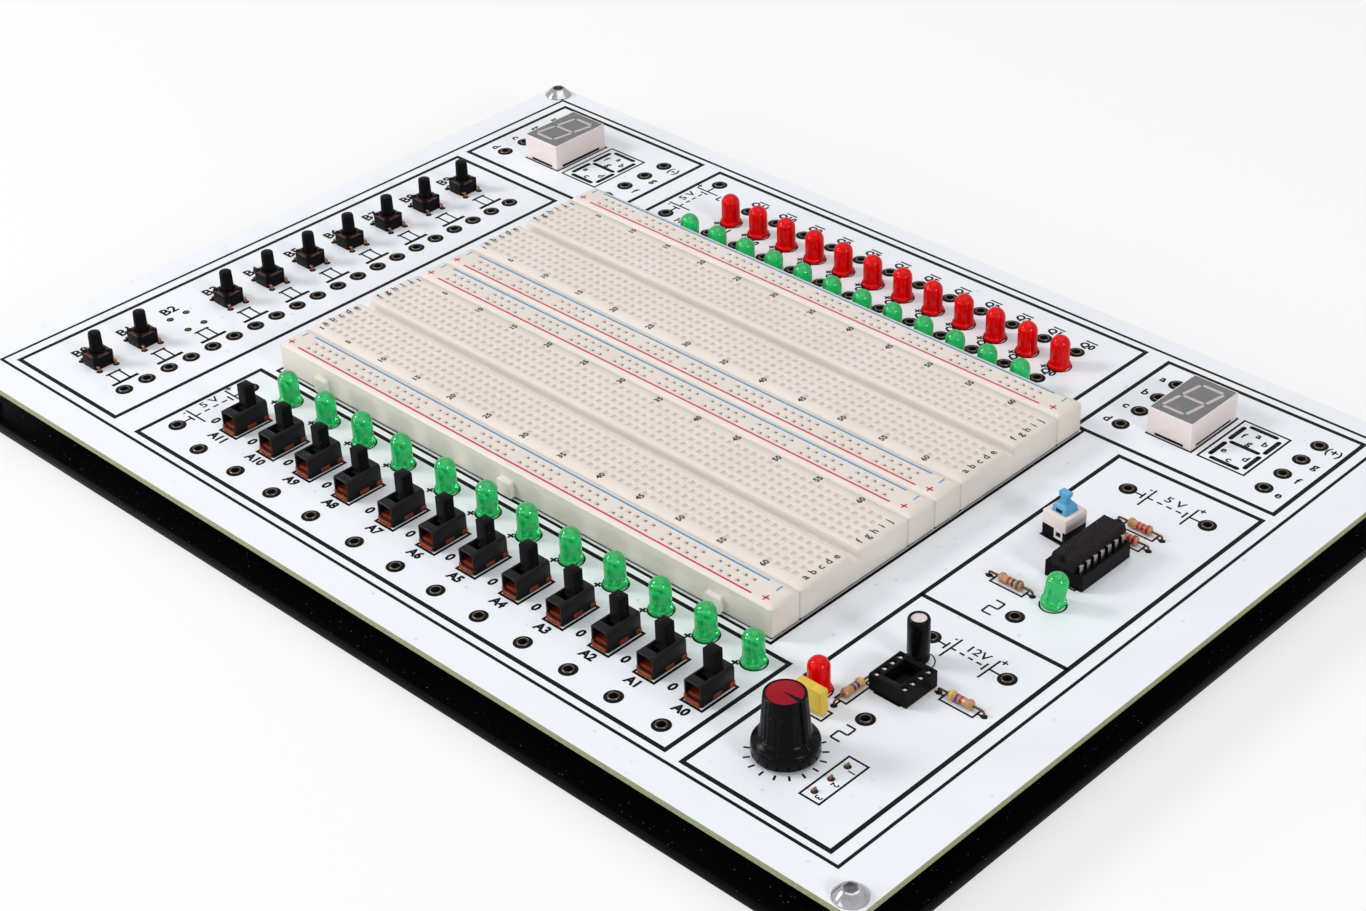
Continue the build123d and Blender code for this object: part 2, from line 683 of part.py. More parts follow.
def chip_socket(per_side):
    """Frame with an open middle and a pocket over each pin."""
    length = PIN_PITCH * per_side
    body = block(CHIP_SOCKET_WIDTH, length, 0, CHIP_SOCKET_HEIGHT)
    open_x = CHIP_SOCKET_WIDTH - 2 * CHIP_SOCKET_BAR
    open_y = length - 2 * CHIP_SOCKET_END
    body -= block(open_x, open_y, 0, CHIP_SOCKET_HEIGHT)
    pocket_x, pocket_y = CHIP_SOCKET_POCKET
    pocket = block(pocket_x, pocket_y, CHIP_SOCKET_HEIGHT - CHIP_SOCKET_POCKET_DEPTH, CHIP_SOCKET_HEIGHT)
    return body - [Pos(side * CHIP_ROW, y, 0) * pocket for side, y in pin_rows(per_side)]


def chip_floor():
    """Height of the chip's underside above the board."""
    return CHIP_SOCKET_HEIGHT + CHIP_LIFT


def chip_body():
    """Moulded chip with drafted sides and a notch at its -Y end."""
    low = chip_floor()
    middle = low + CHIP_THICKNESS / 2
    high = low + CHIP_THICKNESS
    lean = math.degrees(math.atan(CHIP_DRAFT / (middle - low)))
    outline = Rectangle(CHIP_WIDTH, CHIP_LENGTH)
    half = extrude(outline, middle - low, taper=lean)
    body = Pos(0, 0, middle) * half + Pos(0, 0, middle) * Rot(HALF_TURN, 0, 0) * half
    return body - Pos(0, -CHIP_LENGTH / 2, 0) * prism(2 * CHIP_NOTCH, SMALL_SIDES, middle, high)


def chip_leg():
    """Leg that leaves the chip's +X side and turns down into its pocket."""
    side = CHIP_WIDTH / 2
    outer = CHIP_ROW + CHIP_LEG_THICKNESS / 2
    inner = outer - CHIP_LEG_THICKNESS
    top = chip_floor() + CHIP_THICKNESS / 2
    under = top - CHIP_LEG_THICKNESS
    low = CHIP_SOCKET_HEIGHT - CHIP_LEG_DEPTH
    profile = Polyline([
        (side, 0, top),
        (outer, 0, top),
        (outer, 0, low),
        (inner, 0, low),
        (inner, 0, under),
        (side, 0, under),
    ], close=True)
    return extrude(make_face(profile), CHIP_LEG_WIDTH / 2, both=True)


def chips():
    """Write both sockets, and the chip with its legs."""
    sockets = [at(*place) * chip_socket(count) for place, count in zip(CHIP_SOCKETS, PIN_COUNTS)]
    save("chip_sockets", *sockets)
    place = at(*CHIP_SOCKETS[0])
    leg = chip_leg()
    sides = {1: leg, -1: Rot(0, 0, HALF_TURN) * leg}
    legs = [place * Pos(0, row, 0) * sides[side] for side, row in pin_rows(PIN_COUNTS[0])]
    save("chip_body", place * chip_body())
    save("chip_legs", *legs)


def resistor_body():
    """Body along X, with swollen ends."""
    half = RESISTOR_LENGTH / 2
    waist = half - RESISTOR_END_LENGTH
    body = faceted(RESISTOR_SIDES, [
        (RESISTOR_END, -half),
        (RESISTOR_END, -waist),
        (RESISTOR_WAIST, -waist),
        (RESISTOR_WAIST, waist),
        (RESISTOR_END, waist),
        (RESISTOR_END, half),
    ])
    return Pos(0, 0, RESISTOR_Z) * Rot(0, 90, 0) * body


def resistor_lead():
    """Wire that leaves the body's +X end and turns down to the board."""
    start = RESISTOR_LENGTH / 2
    top = RESISTOR_Z + LEAD_THICKNESS / 2
    under = RESISTOR_Z - LEAD_THICKNESS / 2
    outer = RESISTOR_REACH + LEAD_THICKNESS / 2
    inner = RESISTOR_REACH - LEAD_THICKNESS / 2
    profile = Polyline([
        (start, 0, top),
        (outer, 0, top),
        (outer, 0, 0),
        (inner, 0, 0),
        (inner, 0, under),
        (start, 0, under),
    ], close=True)
    return extrude(make_face(profile), LEAD_THICKNESS / 2, both=True)


def film_capacitor():
    """Moulded box with eased edges."""
    x, y, z = FILM_SIZE
    body = block(x, y, FILM_LIFT, FILM_LIFT + z)
    return chamfer(body.edges().group_by(Axis.Z)[-1], FILM_EDGE)


def can_capacitor():
    """Rolled can with a groove near its foot and a crimped end."""
    high = CAN_LIFT + CAN_HEIGHT
    groove = CAN_LIFT + CAN_GROOVE_Z
    return faceted(ROUND_SIDES, [
        (CAN_DIAMETER, CAN_LIFT),
        (CAN_DIAMETER, groove - CAN_GROOVE),
        (CAN_DIAMETER - 2 * CAN_GROOVE, groove),
        (CAN_DIAMETER, groove + CAN_GROOVE),
        (CAN_DIAMETER, high - CAN_CRIMP),
        (CAN_DIAMETER - 2 * CAN_CRIMP, high),
    ])


def passives():
    """Write the resistors, the capacitors and all their wires."""
    body, lead = resistor_body(), resistor_lead()
    spots = [at(x, y) * Rot(0, 0, 0 if along_x else HALF_TURN / 2) for x, y, along_x in RESISTORS]
    film_pin = block(LEAD_THICKNESS, LEAD_THICKNESS, 0, FILM_LIFT)
    can_pin = block(LEAD_THICKNESS, LEAD_THICKNESS, 0, CAN_LIFT)
    leads = [spot * Rot(0, 0, turn) * lead for spot in spots for turn in (0, HALF_TURN)]
    leads += [at(*FILM_CAPACITOR) * Pos(i * FILM_LEAD_SPACING / 2, 0, 0) * film_pin for i in (-1, 1)]
    leads += [at(*CAN_CAPACITOR) * Pos(0, i * CAN_LEAD_SPACING / 2, 0) * can_pin for i in (-1, 1)]
    save("resistor_bodies", *[spot * body for spot in spots])
    save("component_leads", *leads)
    save("film_capacitor", at(*FILM_CAPACITOR) * film_capacitor())
    save("can_capacitor", at(*CAN_CAPACITOR) * can_capacitor())


def shaft_foot():
    """Height of the shaft's lower end, inside the potentiometer."""
    return -BOARD_THICKNESS - SHAFT_SOCKET


def potentiometer_body():
    """Round case under the board with its bushing through it and a wafer that carries the tags."""
    case_top = -BOARD_THICKNESS
    case = prism(POT_DIAMETER, ROUND_SIDES, case_top - POT_HEIGHT, case_top)
    bushing = prism(BUSHING_DIAMETER, ROUND_SIDES, case_top, BUSHING_TOP)
    wafer_low = case_top - TAG_DROP + (TAG_THICKNESS - WAFER_THICKNESS) / 2
    wafer = block(WAFER_REACH, WAFER_WIDTH, wafer_low, wafer_low + WAFER_THICKNESS)
    bore = rod(SHAFT_DIAMETER + 2 * RUNNING_PLAY, shaft_foot() - RUNNING_PLAY, BUSHING_TOP)
    return case + bushing + Pos(WAFER_REACH / 2, 0, 0) * wafer - bore


def potentiometer_nut():
    """Nut that clamps the bushing to the board."""
    hole = prism(BUSHING_DIAMETER + THREAD_PLAY, ROUND_SIDES, 0, NUT_HEIGHT)
    return prism(NUT_FLATS, 6, 0, NUT_HEIGHT) - hole


def potentiometer_tag():
    """Tag that leaves the wafer's +X side and turns up through the board."""
    low = -BOARD_THICKNESS - TAG_DROP
    inner = TAG_X - TAG_THICKNESS / 2
    outer = TAG_X + TAG_THICKNESS / 2
    profile = Polyline([
        (WAFER_REACH, 0, low),
        (outer, 0, low),
        (outer, 0, TAG_TOP),
        (inner, 0, TAG_TOP),
        (inner, 0, low + TAG_THICKNESS),
        (WAFER_REACH, 0, low + TAG_THICKNESS),
    ], close=True)
    return extrude(make_face(profile), TAG_WIDTH / 2, both=True)


def knob_body():
    """Knob with a skirt, a hollow underside, a fluted taper grip and a pointer rib on +X."""
    hollow = SKIRT_DIAMETER - 2 * SKIRT_WALL
    skirt = faceted(KNOB_SIDES, [
        (SKIRT_DIAMETER, SKIRT_BOTTOM),
        (SKIRT_DIAMETER, SKIRT_TOP - SKIRT_SLOPE),
        ((SKIRT_DIAMETER + GRIP_FOOT) / 2, SKIRT_TOP),
        (GRIP_FOOT, GRIP_FOOT_Z),
    ])
    recess = prism(CAP_DIAMETER + 2 * CAP_PLAY, ROUND_SIDES, KNOB_TOP - CAP_THICKNESS, KNOB_TOP)
    room = prism(hollow, ROUND_SIDES, SKIRT_BOTTOM, KNOB_HOLLOW_TOP)
    bore = rod(SHAFT_DIAMETER + 2 * RUNNING_PLAY, KNOB_HOLLOW_TOP, SHAFT_TOP + RUNNING_PLAY)
    return skirt + knob_grip() + knob_pointer() - recess - room - bore


def knob_grip():
    """Tapered grip with a flute down the middle of every side but the pointer's."""
    grip = frustum(KNOB_SIDES, GRIP_FOOT, GRIP_FOOT_Z, GRIP_TOP, KNOB_TOP)
    lean = math.degrees(math.atan((GRIP_FOOT - GRIP_TOP) / 2 / (KNOB_TOP - GRIP_FOOT_Z)))
    wedge = make_face(Polyline([
        (-FLUTE_DEPTH, 0),
        (FLUTE_DEPTH, FLUTE_WIDTH),
        (FLUTE_DEPTH, -FLUTE_WIDTH),
    ], close=True))
    cutter = extrude(wedge, KNOB_TOP - GRIP_FOOT_Z + FLUTE_DEPTH)
    flute = Pos(GRIP_FOOT / 2, 0, GRIP_FOOT_Z) * Rot(0, -lean, 0) * cutter
    return grip - [Rot(0, 0, FULL_TURN / KNOB_SIDES * k) * flute for k in range(1, KNOB_SIDES)]


def knob_pointer():
    """Rib down the +X side, from the cap to the skirt."""
    top = GRIP_TOP / 2
    skirt = SKIRT_DIAMETER / 2
    rib = Polyline([
        (top - POINTER_PROUD, 0, KNOB_TOP),
        (top + POINTER_PROUD, 0, KNOB_TOP),
        (GRIP_FOOT / 2 + POINTER_PROUD, 0, GRIP_FOOT_Z),
        (skirt, 0, SKIRT_TOP - SKIRT_SLOPE),
        (top - POINTER_PROUD, 0, SKIRT_TOP - SKIRT_SLOPE),
    ], close=True)
    return extrude(make_face(rib), POINTER_WIDTH / 2, both=True)


def knob_shaft():
    """Shaft from inside the potentiometer up into the knob, with a flat."""
    shaft = rod(SHAFT_DIAMETER, shaft_foot(), SHAFT_TOP)
    flat = block(2 * SHAFT_FLAT, SHAFT_DIAMETER, SKIRT_TOP, SHAFT_TOP)
    return shaft - Pos(-SHAFT_DIAMETER / 2, 0, 0) * flat


def clock_control():
    """Write the potentiometer and its knob."""
    place = at(*KNOB_AXIS)
    tag = potentiometer_tag()
    rows = [TAG_FIRST_Y + TAG_PITCH * k for k in range(3)]
    save("potentiometer_body", place * potentiometer_body())
    save("potentiometer_nut", place * potentiometer_nut())
    save("potentiometer_tags", *[place * Pos(0, y, 0) * tag for y in rows])
    save("knob_body", place * knob_body())
    save("knob_cap", place * prism(CAP_DIAMETER, ROUND_SIDES, KNOB_TOP - CAP_THICKNESS, KNOB_TOP))
    save("knob_shaft", place * knob_shaft())


def frame():
    """Write the plates, the standoffs and the screws."""
    save("base_plate", base_plate())
    save("standoffs", *[place * standoff() for place in screw_places()])
    save("top_screws", *[place * top_screw() for place in screw_places()])
    save("bottom_screws", *[place * bottom_screw() for place in screw_places()])
    save("circuit_board", circuit_board())


def main():
    """Build every sub-assembly and list what was written."""
    os.makedirs("parts", exist_ok=True)
    frame()
    breadboards()
    sockets()
    lamps()
    slide_switches()
    push_buttons()
    displays()
    push_switch()
    chips()
    passives()
    clock_control()
    for name, solids in written:
        print(name, solids)
    print(len(written), "nodes")


main()
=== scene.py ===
"""Breadboard electronics trainer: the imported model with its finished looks.

A mesh is made in millimetres and becomes a piece in metres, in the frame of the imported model.
Places on the circuit board are given from the middle of its print, with z above its face.
"""

import logging
import math
from collections.abc import Callable
from dataclasses import dataclass, field
from enum import Enum

import bmesh
import bpy
from mathutils import Matrix, Vector


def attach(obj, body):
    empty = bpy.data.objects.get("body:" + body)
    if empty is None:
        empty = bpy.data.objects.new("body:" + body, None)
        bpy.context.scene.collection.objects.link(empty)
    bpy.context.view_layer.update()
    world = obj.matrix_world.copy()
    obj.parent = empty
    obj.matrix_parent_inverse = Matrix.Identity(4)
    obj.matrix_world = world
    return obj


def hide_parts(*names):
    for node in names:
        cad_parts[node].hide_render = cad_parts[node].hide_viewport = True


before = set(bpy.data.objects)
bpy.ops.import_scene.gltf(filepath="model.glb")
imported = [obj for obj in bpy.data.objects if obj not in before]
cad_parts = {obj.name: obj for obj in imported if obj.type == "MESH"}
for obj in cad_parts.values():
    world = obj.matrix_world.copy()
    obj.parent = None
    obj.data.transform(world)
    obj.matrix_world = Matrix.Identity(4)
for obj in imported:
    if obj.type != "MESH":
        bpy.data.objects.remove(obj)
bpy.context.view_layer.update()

logging.basicConfig(level=logging.INFO, format="%(name)s: %(message)s")
log = logging.getLogger("trainer")

MM = 0.001
PRINT_X = -1.6
PRINT_Y = 1.3
BOARD_TOP = 14.6
BOARD_UNDERSIDE = 13.0
INK = 0.03
CAPITAL_SHARE = 0.729
CORNER_STEPS = 8
SMALL_HOLE = 3.0
SMALL_STEPS = 16
LARGE_STEPS = 32
HERE = Matrix()
Point = tuple[float, float]
Points = tuple[Point, ...]
Corner = tuple[float, float, float]
Colour = tuple[float, float, float, float]


def at(x: float, y: float, z: float = 0.0) -> Matrix:
    """Place on the board's print, in millimetres from its middle."""
    return Matrix.Translation((PRINT_X + x, PRINT_Y + y, BOARD_TOP + z))


def turn(degrees: float, axis: str = "Z") -> Matrix:
    """Turn about an axis through the origin."""
    return Matrix.Rotation(math.radians(degrees), 4, axis)


def move(x: float, y: float, z: float = 0.0) -> Matrix:
    """Shift in millimetres."""
    return Matrix.Translation((x, y, z))


def tone(red: int, green: int, blue: int) -> Colour:
    """Colour as it looks on a screen, made linear.

    Args:
        red: red channel from 0 to 255.
        green: green channel from 0 to 255.
        blue: blue channel from 0 to 255.

    Returns:
        The linear colour, with full cover.
    """
    def linear(value: int) -> float:
        """One channel made linear."""
        share = value / 255
        return share / 12.92 if share <= 0.04045 else ((share + 0.055) / 1.055) ** 2.4

    return (linear(red), linear(green), linear(blue), 1.0)


class Shape:
    """A mesh in the making, in millimetres."""

    def __init__(self) -> None:
        """Start empty."""
        self.bm = bmesh.new()

    @classmethod
    def block(cls, low: Corner, high: Corner, edge: float = 0.0, segments: int = 1) -> "Shape":
        """Box between two corners, with its edges rounded over if asked.

        Args:
            low: lowest corner.
            high: highest corner.
            edge: width of the rounding.
            segments: steps across the rounding.

        Returns:
            The box.
        """
        shape = cls()
        size = [b - a for a, b in zip(low, high)]
        middle = [(a + b) / 2 for a, b in zip(low, high)]
        bmesh.ops.create_cube(shape.bm, size=1, matrix=move(*middle) @ Matrix.Diagonal((*size, 1)))
        if edge:
            shape.bevel(list(shape.bm.edges), edge, segments)
        return shape

    @classmethod
    def turned(
        cls, rings: list[Point], steps: int = LARGE_STEPS, closed: bool = False
    ) -> "Shape":
        """Solid turned about Z from its outline.

        Args:
            rings: (radius, height) points from the bottom up.
            steps: sides round the axis.
            closed: joins the last point to the first, for a ring with a bore.

        Returns:
            The turned solid.
        """
        return cls().spun(rings, steps, closed).clean()

    @classmethod
    def prism(cls, outline: list[Point], low: float, high: float) -> "Shape":
        """Upright solid on a plan outline.

        Args:
            outline: corners of the plan.
            low: height of the underside.
            high: height of the top.

        Returns:
            The prism.
        """
        shape = cls()
        shape.bm.faces.new([shape.bm.verts.new((x, y, low)) for x, y in outline])
        return shape.raised(high - low)

    @classmethod
    def sheet(
        cls, size: Point, radius: float, holes: list[Corner], low: float, high: float
    ) -> "Shape":
        """Plate with rounded corners and round holes.

        Args:
            size: length and width.
            radius: corner radius.
            holes: (x, y, diameter) of each hole.
            low: height of the underside.
            high: height of the top.

        Returns:
            The plate.
        """
        shape = cls()
        bm = shape.bm
        flat = move(0, 0, low) @ Matrix.Diagonal((size[0], size[1], 1, 1))
        bmesh.ops.create_grid(bm, x_segments=1, y_segments=1, size=0.5, matrix=flat)
        bmesh.ops.bevel(
            bm, geom=list(bm.verts), offset=radius, offset_type="OFFSET",
            segments=CORNER_STEPS, profile=0.5, affect="VERTICES", material=-1,
        )
        bmesh.ops.delete(bm, geom=list(bm.faces), context="FACES_ONLY")
        for x, y, diameter in holes:
            steps = SMALL_STEPS if diameter < SMALL_HOLE else LARGE_STEPS
            bmesh.ops.create_circle(
                bm, cap_ends=False, segments=steps, radius=diameter / 2, matrix=move(x, y, low)
            )
        bmesh.ops.triangle_fill(bm, use_beauty=True, edges=list(bm.edges), normal=(0, 0, 1))
        return shape.raised(high - low)

    @classmethod
    def copy_of(cls, node: str) -> "Shape":
        """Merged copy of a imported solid, with flat faces made whole.

        Args:
            node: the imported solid's name.

        Returns:
            The copy.
        """
        shape = cls()
        shape.bm.from_mesh(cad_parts[node].data)
        bmesh.ops.scale(shape.bm, vec=(1 / MM,) * 3, verts=shape.bm.verts)
        bmesh.ops.remove_doubles(shape.bm, verts=shape.bm.verts, dist=0.002)
        bmesh.ops.dissolve_limit(
            shape.bm, angle_limit=math.radians(0.5), verts=shape.bm.verts, edges=shape.bm.edges,
            use_dissolve_boundaries=False,
        )
        return shape

    @classmethod
    def from_curve(cls, curve: bpy.types.Curve) -> "Shape":
        """Mesh of a curve.

        Args:
            curve: the curve, which is used up.

        Returns:
            The shape.
        """
        holder = bpy.data.objects.new(curve.name, curve)
        mesh = bpy.data.meshes.new_from_object(holder)
        shape = cls()
        shape.bm.from_mesh(mesh)
        bpy.data.objects.remove(holder)
        bpy.data.curves.remove(curve)
        bpy.data.meshes.remove(mesh)
        return shape

    @classmethod
    def lettering(
        cls, text: str, height: float, weight: float = 0.0, width: float = 1.0
    ) -> "Shape":
        """Letters or figures as a thin solid, read along X and centred.

        Args:
            text: what is written.
            height: height of a capital.
            weight: how much bolder the strokes are, as a share of the height.
            width: stretch along the line.

        Returns:
            The letters, standing one layer of ink high.
        """
        curve = bpy.data.curves.new("letters", "FONT")
        curve.body = text
        curve.size = height / CAPITAL_SHARE
        curve.align_x = "CENTER"
        curve.offset = weight * height
        curve.resolution_u = 2
        curve.extrude = INK / 2
        place = Matrix.Diagonal((width, 1, 1, 1)) @ move(0, -height / 2, INK / 2)
        return cls.from_curve(curve).moved(place).clean(0.0004)

    @classmethod
    def wire(cls, points: list[Corner], radius: float) -> "Shape":
        """Round wire, bent smoothly.

        Args:
            points: the ends and the bends.
            radius: half the wire's thickness.

        Returns:
            The wire, closed at both ends.
        """
        curve = bpy.data.curves.new("wire", "CURVE")
        curve.dimensions = "3D"
        curve.bevel_depth = radius
        curve.bevel_resolution = 2
        curve.use_fill_caps = True
        spline = curve.splines.new("NURBS")
        spline.points.add(len(points) - 1)
        for spot, place in zip(spline.points, points):
            spot.co = (*place, 1)
        spline.order_u = 3
        spline.use_endpoint_u = True
        spline.resolution_u = 5
        return cls.from_curve(curve).clean()

    def spun(self, rings: list[Point], steps: int, closed: bool = False) -> "Shape":
        """Sweep an outline once round Z.

        Args:
            rings: (radius, height) points of the outline.
            steps: sides round the axis.
            closed: joins the last point to the first.

        Returns:
            This shape, still with doubles.
        """
        verts = [self.bm.verts.new((radius, 0, height)) for radius, height in rings]
        pairs = list(zip(verts, verts[1:]))
        if closed:
            pairs.append((verts[-1], verts[0]))
        edges = [self.bm.edges.new(pair) for pair in pairs]
        bmesh.ops.spin(
            self.bm, geom=verts + edges, cent=(0, 0, 0), axis=(0, 0, 1), dvec=(0, 0, 0),
            angle=math.tau, steps=steps, use_merge=True, use_duplicate=False,
        )
        return self

    def clean(self, distance: float = 0.0005) -> "Shape":
        """Merge doubles, drop collapsed faces and turn all faces outwards.

        Args:
            distance: how close two corners are to count as one.

        Returns:
            This shape.
        """
        bmesh.ops.remove_doubles(self.bm, verts=self.bm.verts, dist=distance)
        bmesh.ops.dissolve_degenerate(self.bm, dist=distance / 2, edges=self.bm.edges)
        bmesh.ops.recalc_face_normals(self.bm, faces=self.bm.faces)
        return self

    def raised(self, height: float, along: Corner = (0.0, 0.0, 1.0)) -> "Shape":
        """Give flat faces a thickness.

        Args:
            height: the thickness.
            along: its direction, upwards if left out.

        Returns:
            This shape.
        """
        made = bmesh.ops.extrude_face_region(self.bm, geom=list(self.bm.faces))
        verts = [item for item in made["geom"] if isinstance(item, bmesh.types.BMVert)]
        bmesh.ops.translate(self.bm, vec=[height * share for share in along], verts=verts)
        return self.clean()

    def moved(self, place: Matrix) -> "Shape":
        """Put the whole shape somewhere else."""
        bmesh.ops.transform(self.bm, matrix=place, verts=self.bm.verts)
        return self

    def bevel(
        self, edges: list[bmesh.types.BMEdge], width: float, segments: int = 1
    ) -> "Shape":
        """Round over some edges.

        Args:
            edges: edges of this shape.
            width: width of the rounding.
            segments: steps across the rounding.

        Returns:
            This shape.
        """
        bmesh.ops.bevel(
            self.bm, geom=edges, offset=width, offset_type="OFFSET", segments=segments,
            profile=0.5, affect="EDGES", material=-1, clamp_overlap=True,
        )
        return self

    def soften(self, width: float, segments: int = 1, least: float = 30.0) -> "Shape":
        """Round over every sharp edge.

        Args:
            width: width of the rounding.
            segments: steps across the rounding.
            least: angle in degrees above which an edge is sharp.

        Returns:
            This shape.
        """
        sharp = [
            edge for edge in self.bm.edges
            if len(edge.link_faces) == 2 and abs(edge.calc_face_angle(0)) > math.radians(least)
        ]
        return self.bevel(sharp, width, segments)

    def paint(
        self, index: int, chosen: Callable[[bmesh.types.BMFace], bool] = lambda face: True
    ) -> "Shape":
        """Give faces one of the piece's finishes.

        Args:
            index: number of the finish.
            chosen: tells whether a face gets it, and is true for every face if left out.

        Returns:
            This shape.
        """
        for face in self.bm.faces:
            if chosen(face):
                face.material_index = index
        return self

    def add(self, other: "Shape", *places: Matrix) -> "Shape":
        """Add copies of another shape.

        Args:
            other: what is copied.
            places: where each copy goes, or none for one copy where it is.

        Returns:
            This shape.
        """
        mesh = bpy.data.meshes.new("copy")
        other.bm.to_mesh(mesh)
        for place in places or (HERE,):
            mesh.transform(place)
            self.bm.from_mesh(mesh)
            mesh.transform(place.inverted())
        bpy.data.meshes.remove(mesh)
        return self

    def piece(
        self, name: str, finishes: list["Finish"], body: str = "body", slot: str = "",
        replaces: tuple[str, ...] = (), crease: float = 35.0,
    ) -> bpy.types.Object:
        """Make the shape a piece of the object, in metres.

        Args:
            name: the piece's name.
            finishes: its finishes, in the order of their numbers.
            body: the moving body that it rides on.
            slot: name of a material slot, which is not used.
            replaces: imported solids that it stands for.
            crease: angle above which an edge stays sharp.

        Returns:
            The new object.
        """
        mesh = bpy.data.meshes.new(name)
        self.bm.to_mesh(mesh)
        self.bm.free()
        mesh.transform(Matrix.Scale(MM, 4))
        mesh.shade_smooth()
        mesh.set_sharp_from_angle(angle=math.radians(crease))
        for finish in finishes:
            mesh.materials.append(finish.material())
        piece = bpy.data.objects.new(name, mesh)
        bpy.context.scene.collection.objects.link(piece)
        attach(piece, body)
        if replaces:
            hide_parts(*replaces)
        log.info("%s: %d faces", name, len(mesh.polygons))
        return piece

    @classmethod
    def dress(
        cls, node: str, name: str, finish: "Finish", slot: str, width: float,
        segments: int = 1, least: float = 30.0, body: str = "body",
    ) -> None:
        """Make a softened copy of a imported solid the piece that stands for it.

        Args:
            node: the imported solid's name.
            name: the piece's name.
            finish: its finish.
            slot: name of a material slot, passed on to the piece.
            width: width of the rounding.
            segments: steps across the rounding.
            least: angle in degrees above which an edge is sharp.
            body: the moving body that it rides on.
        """
        soft = cls.copy_of(node).soften(width, segments, least)
        soft.piece(name, [finish], body, slot, (node,))


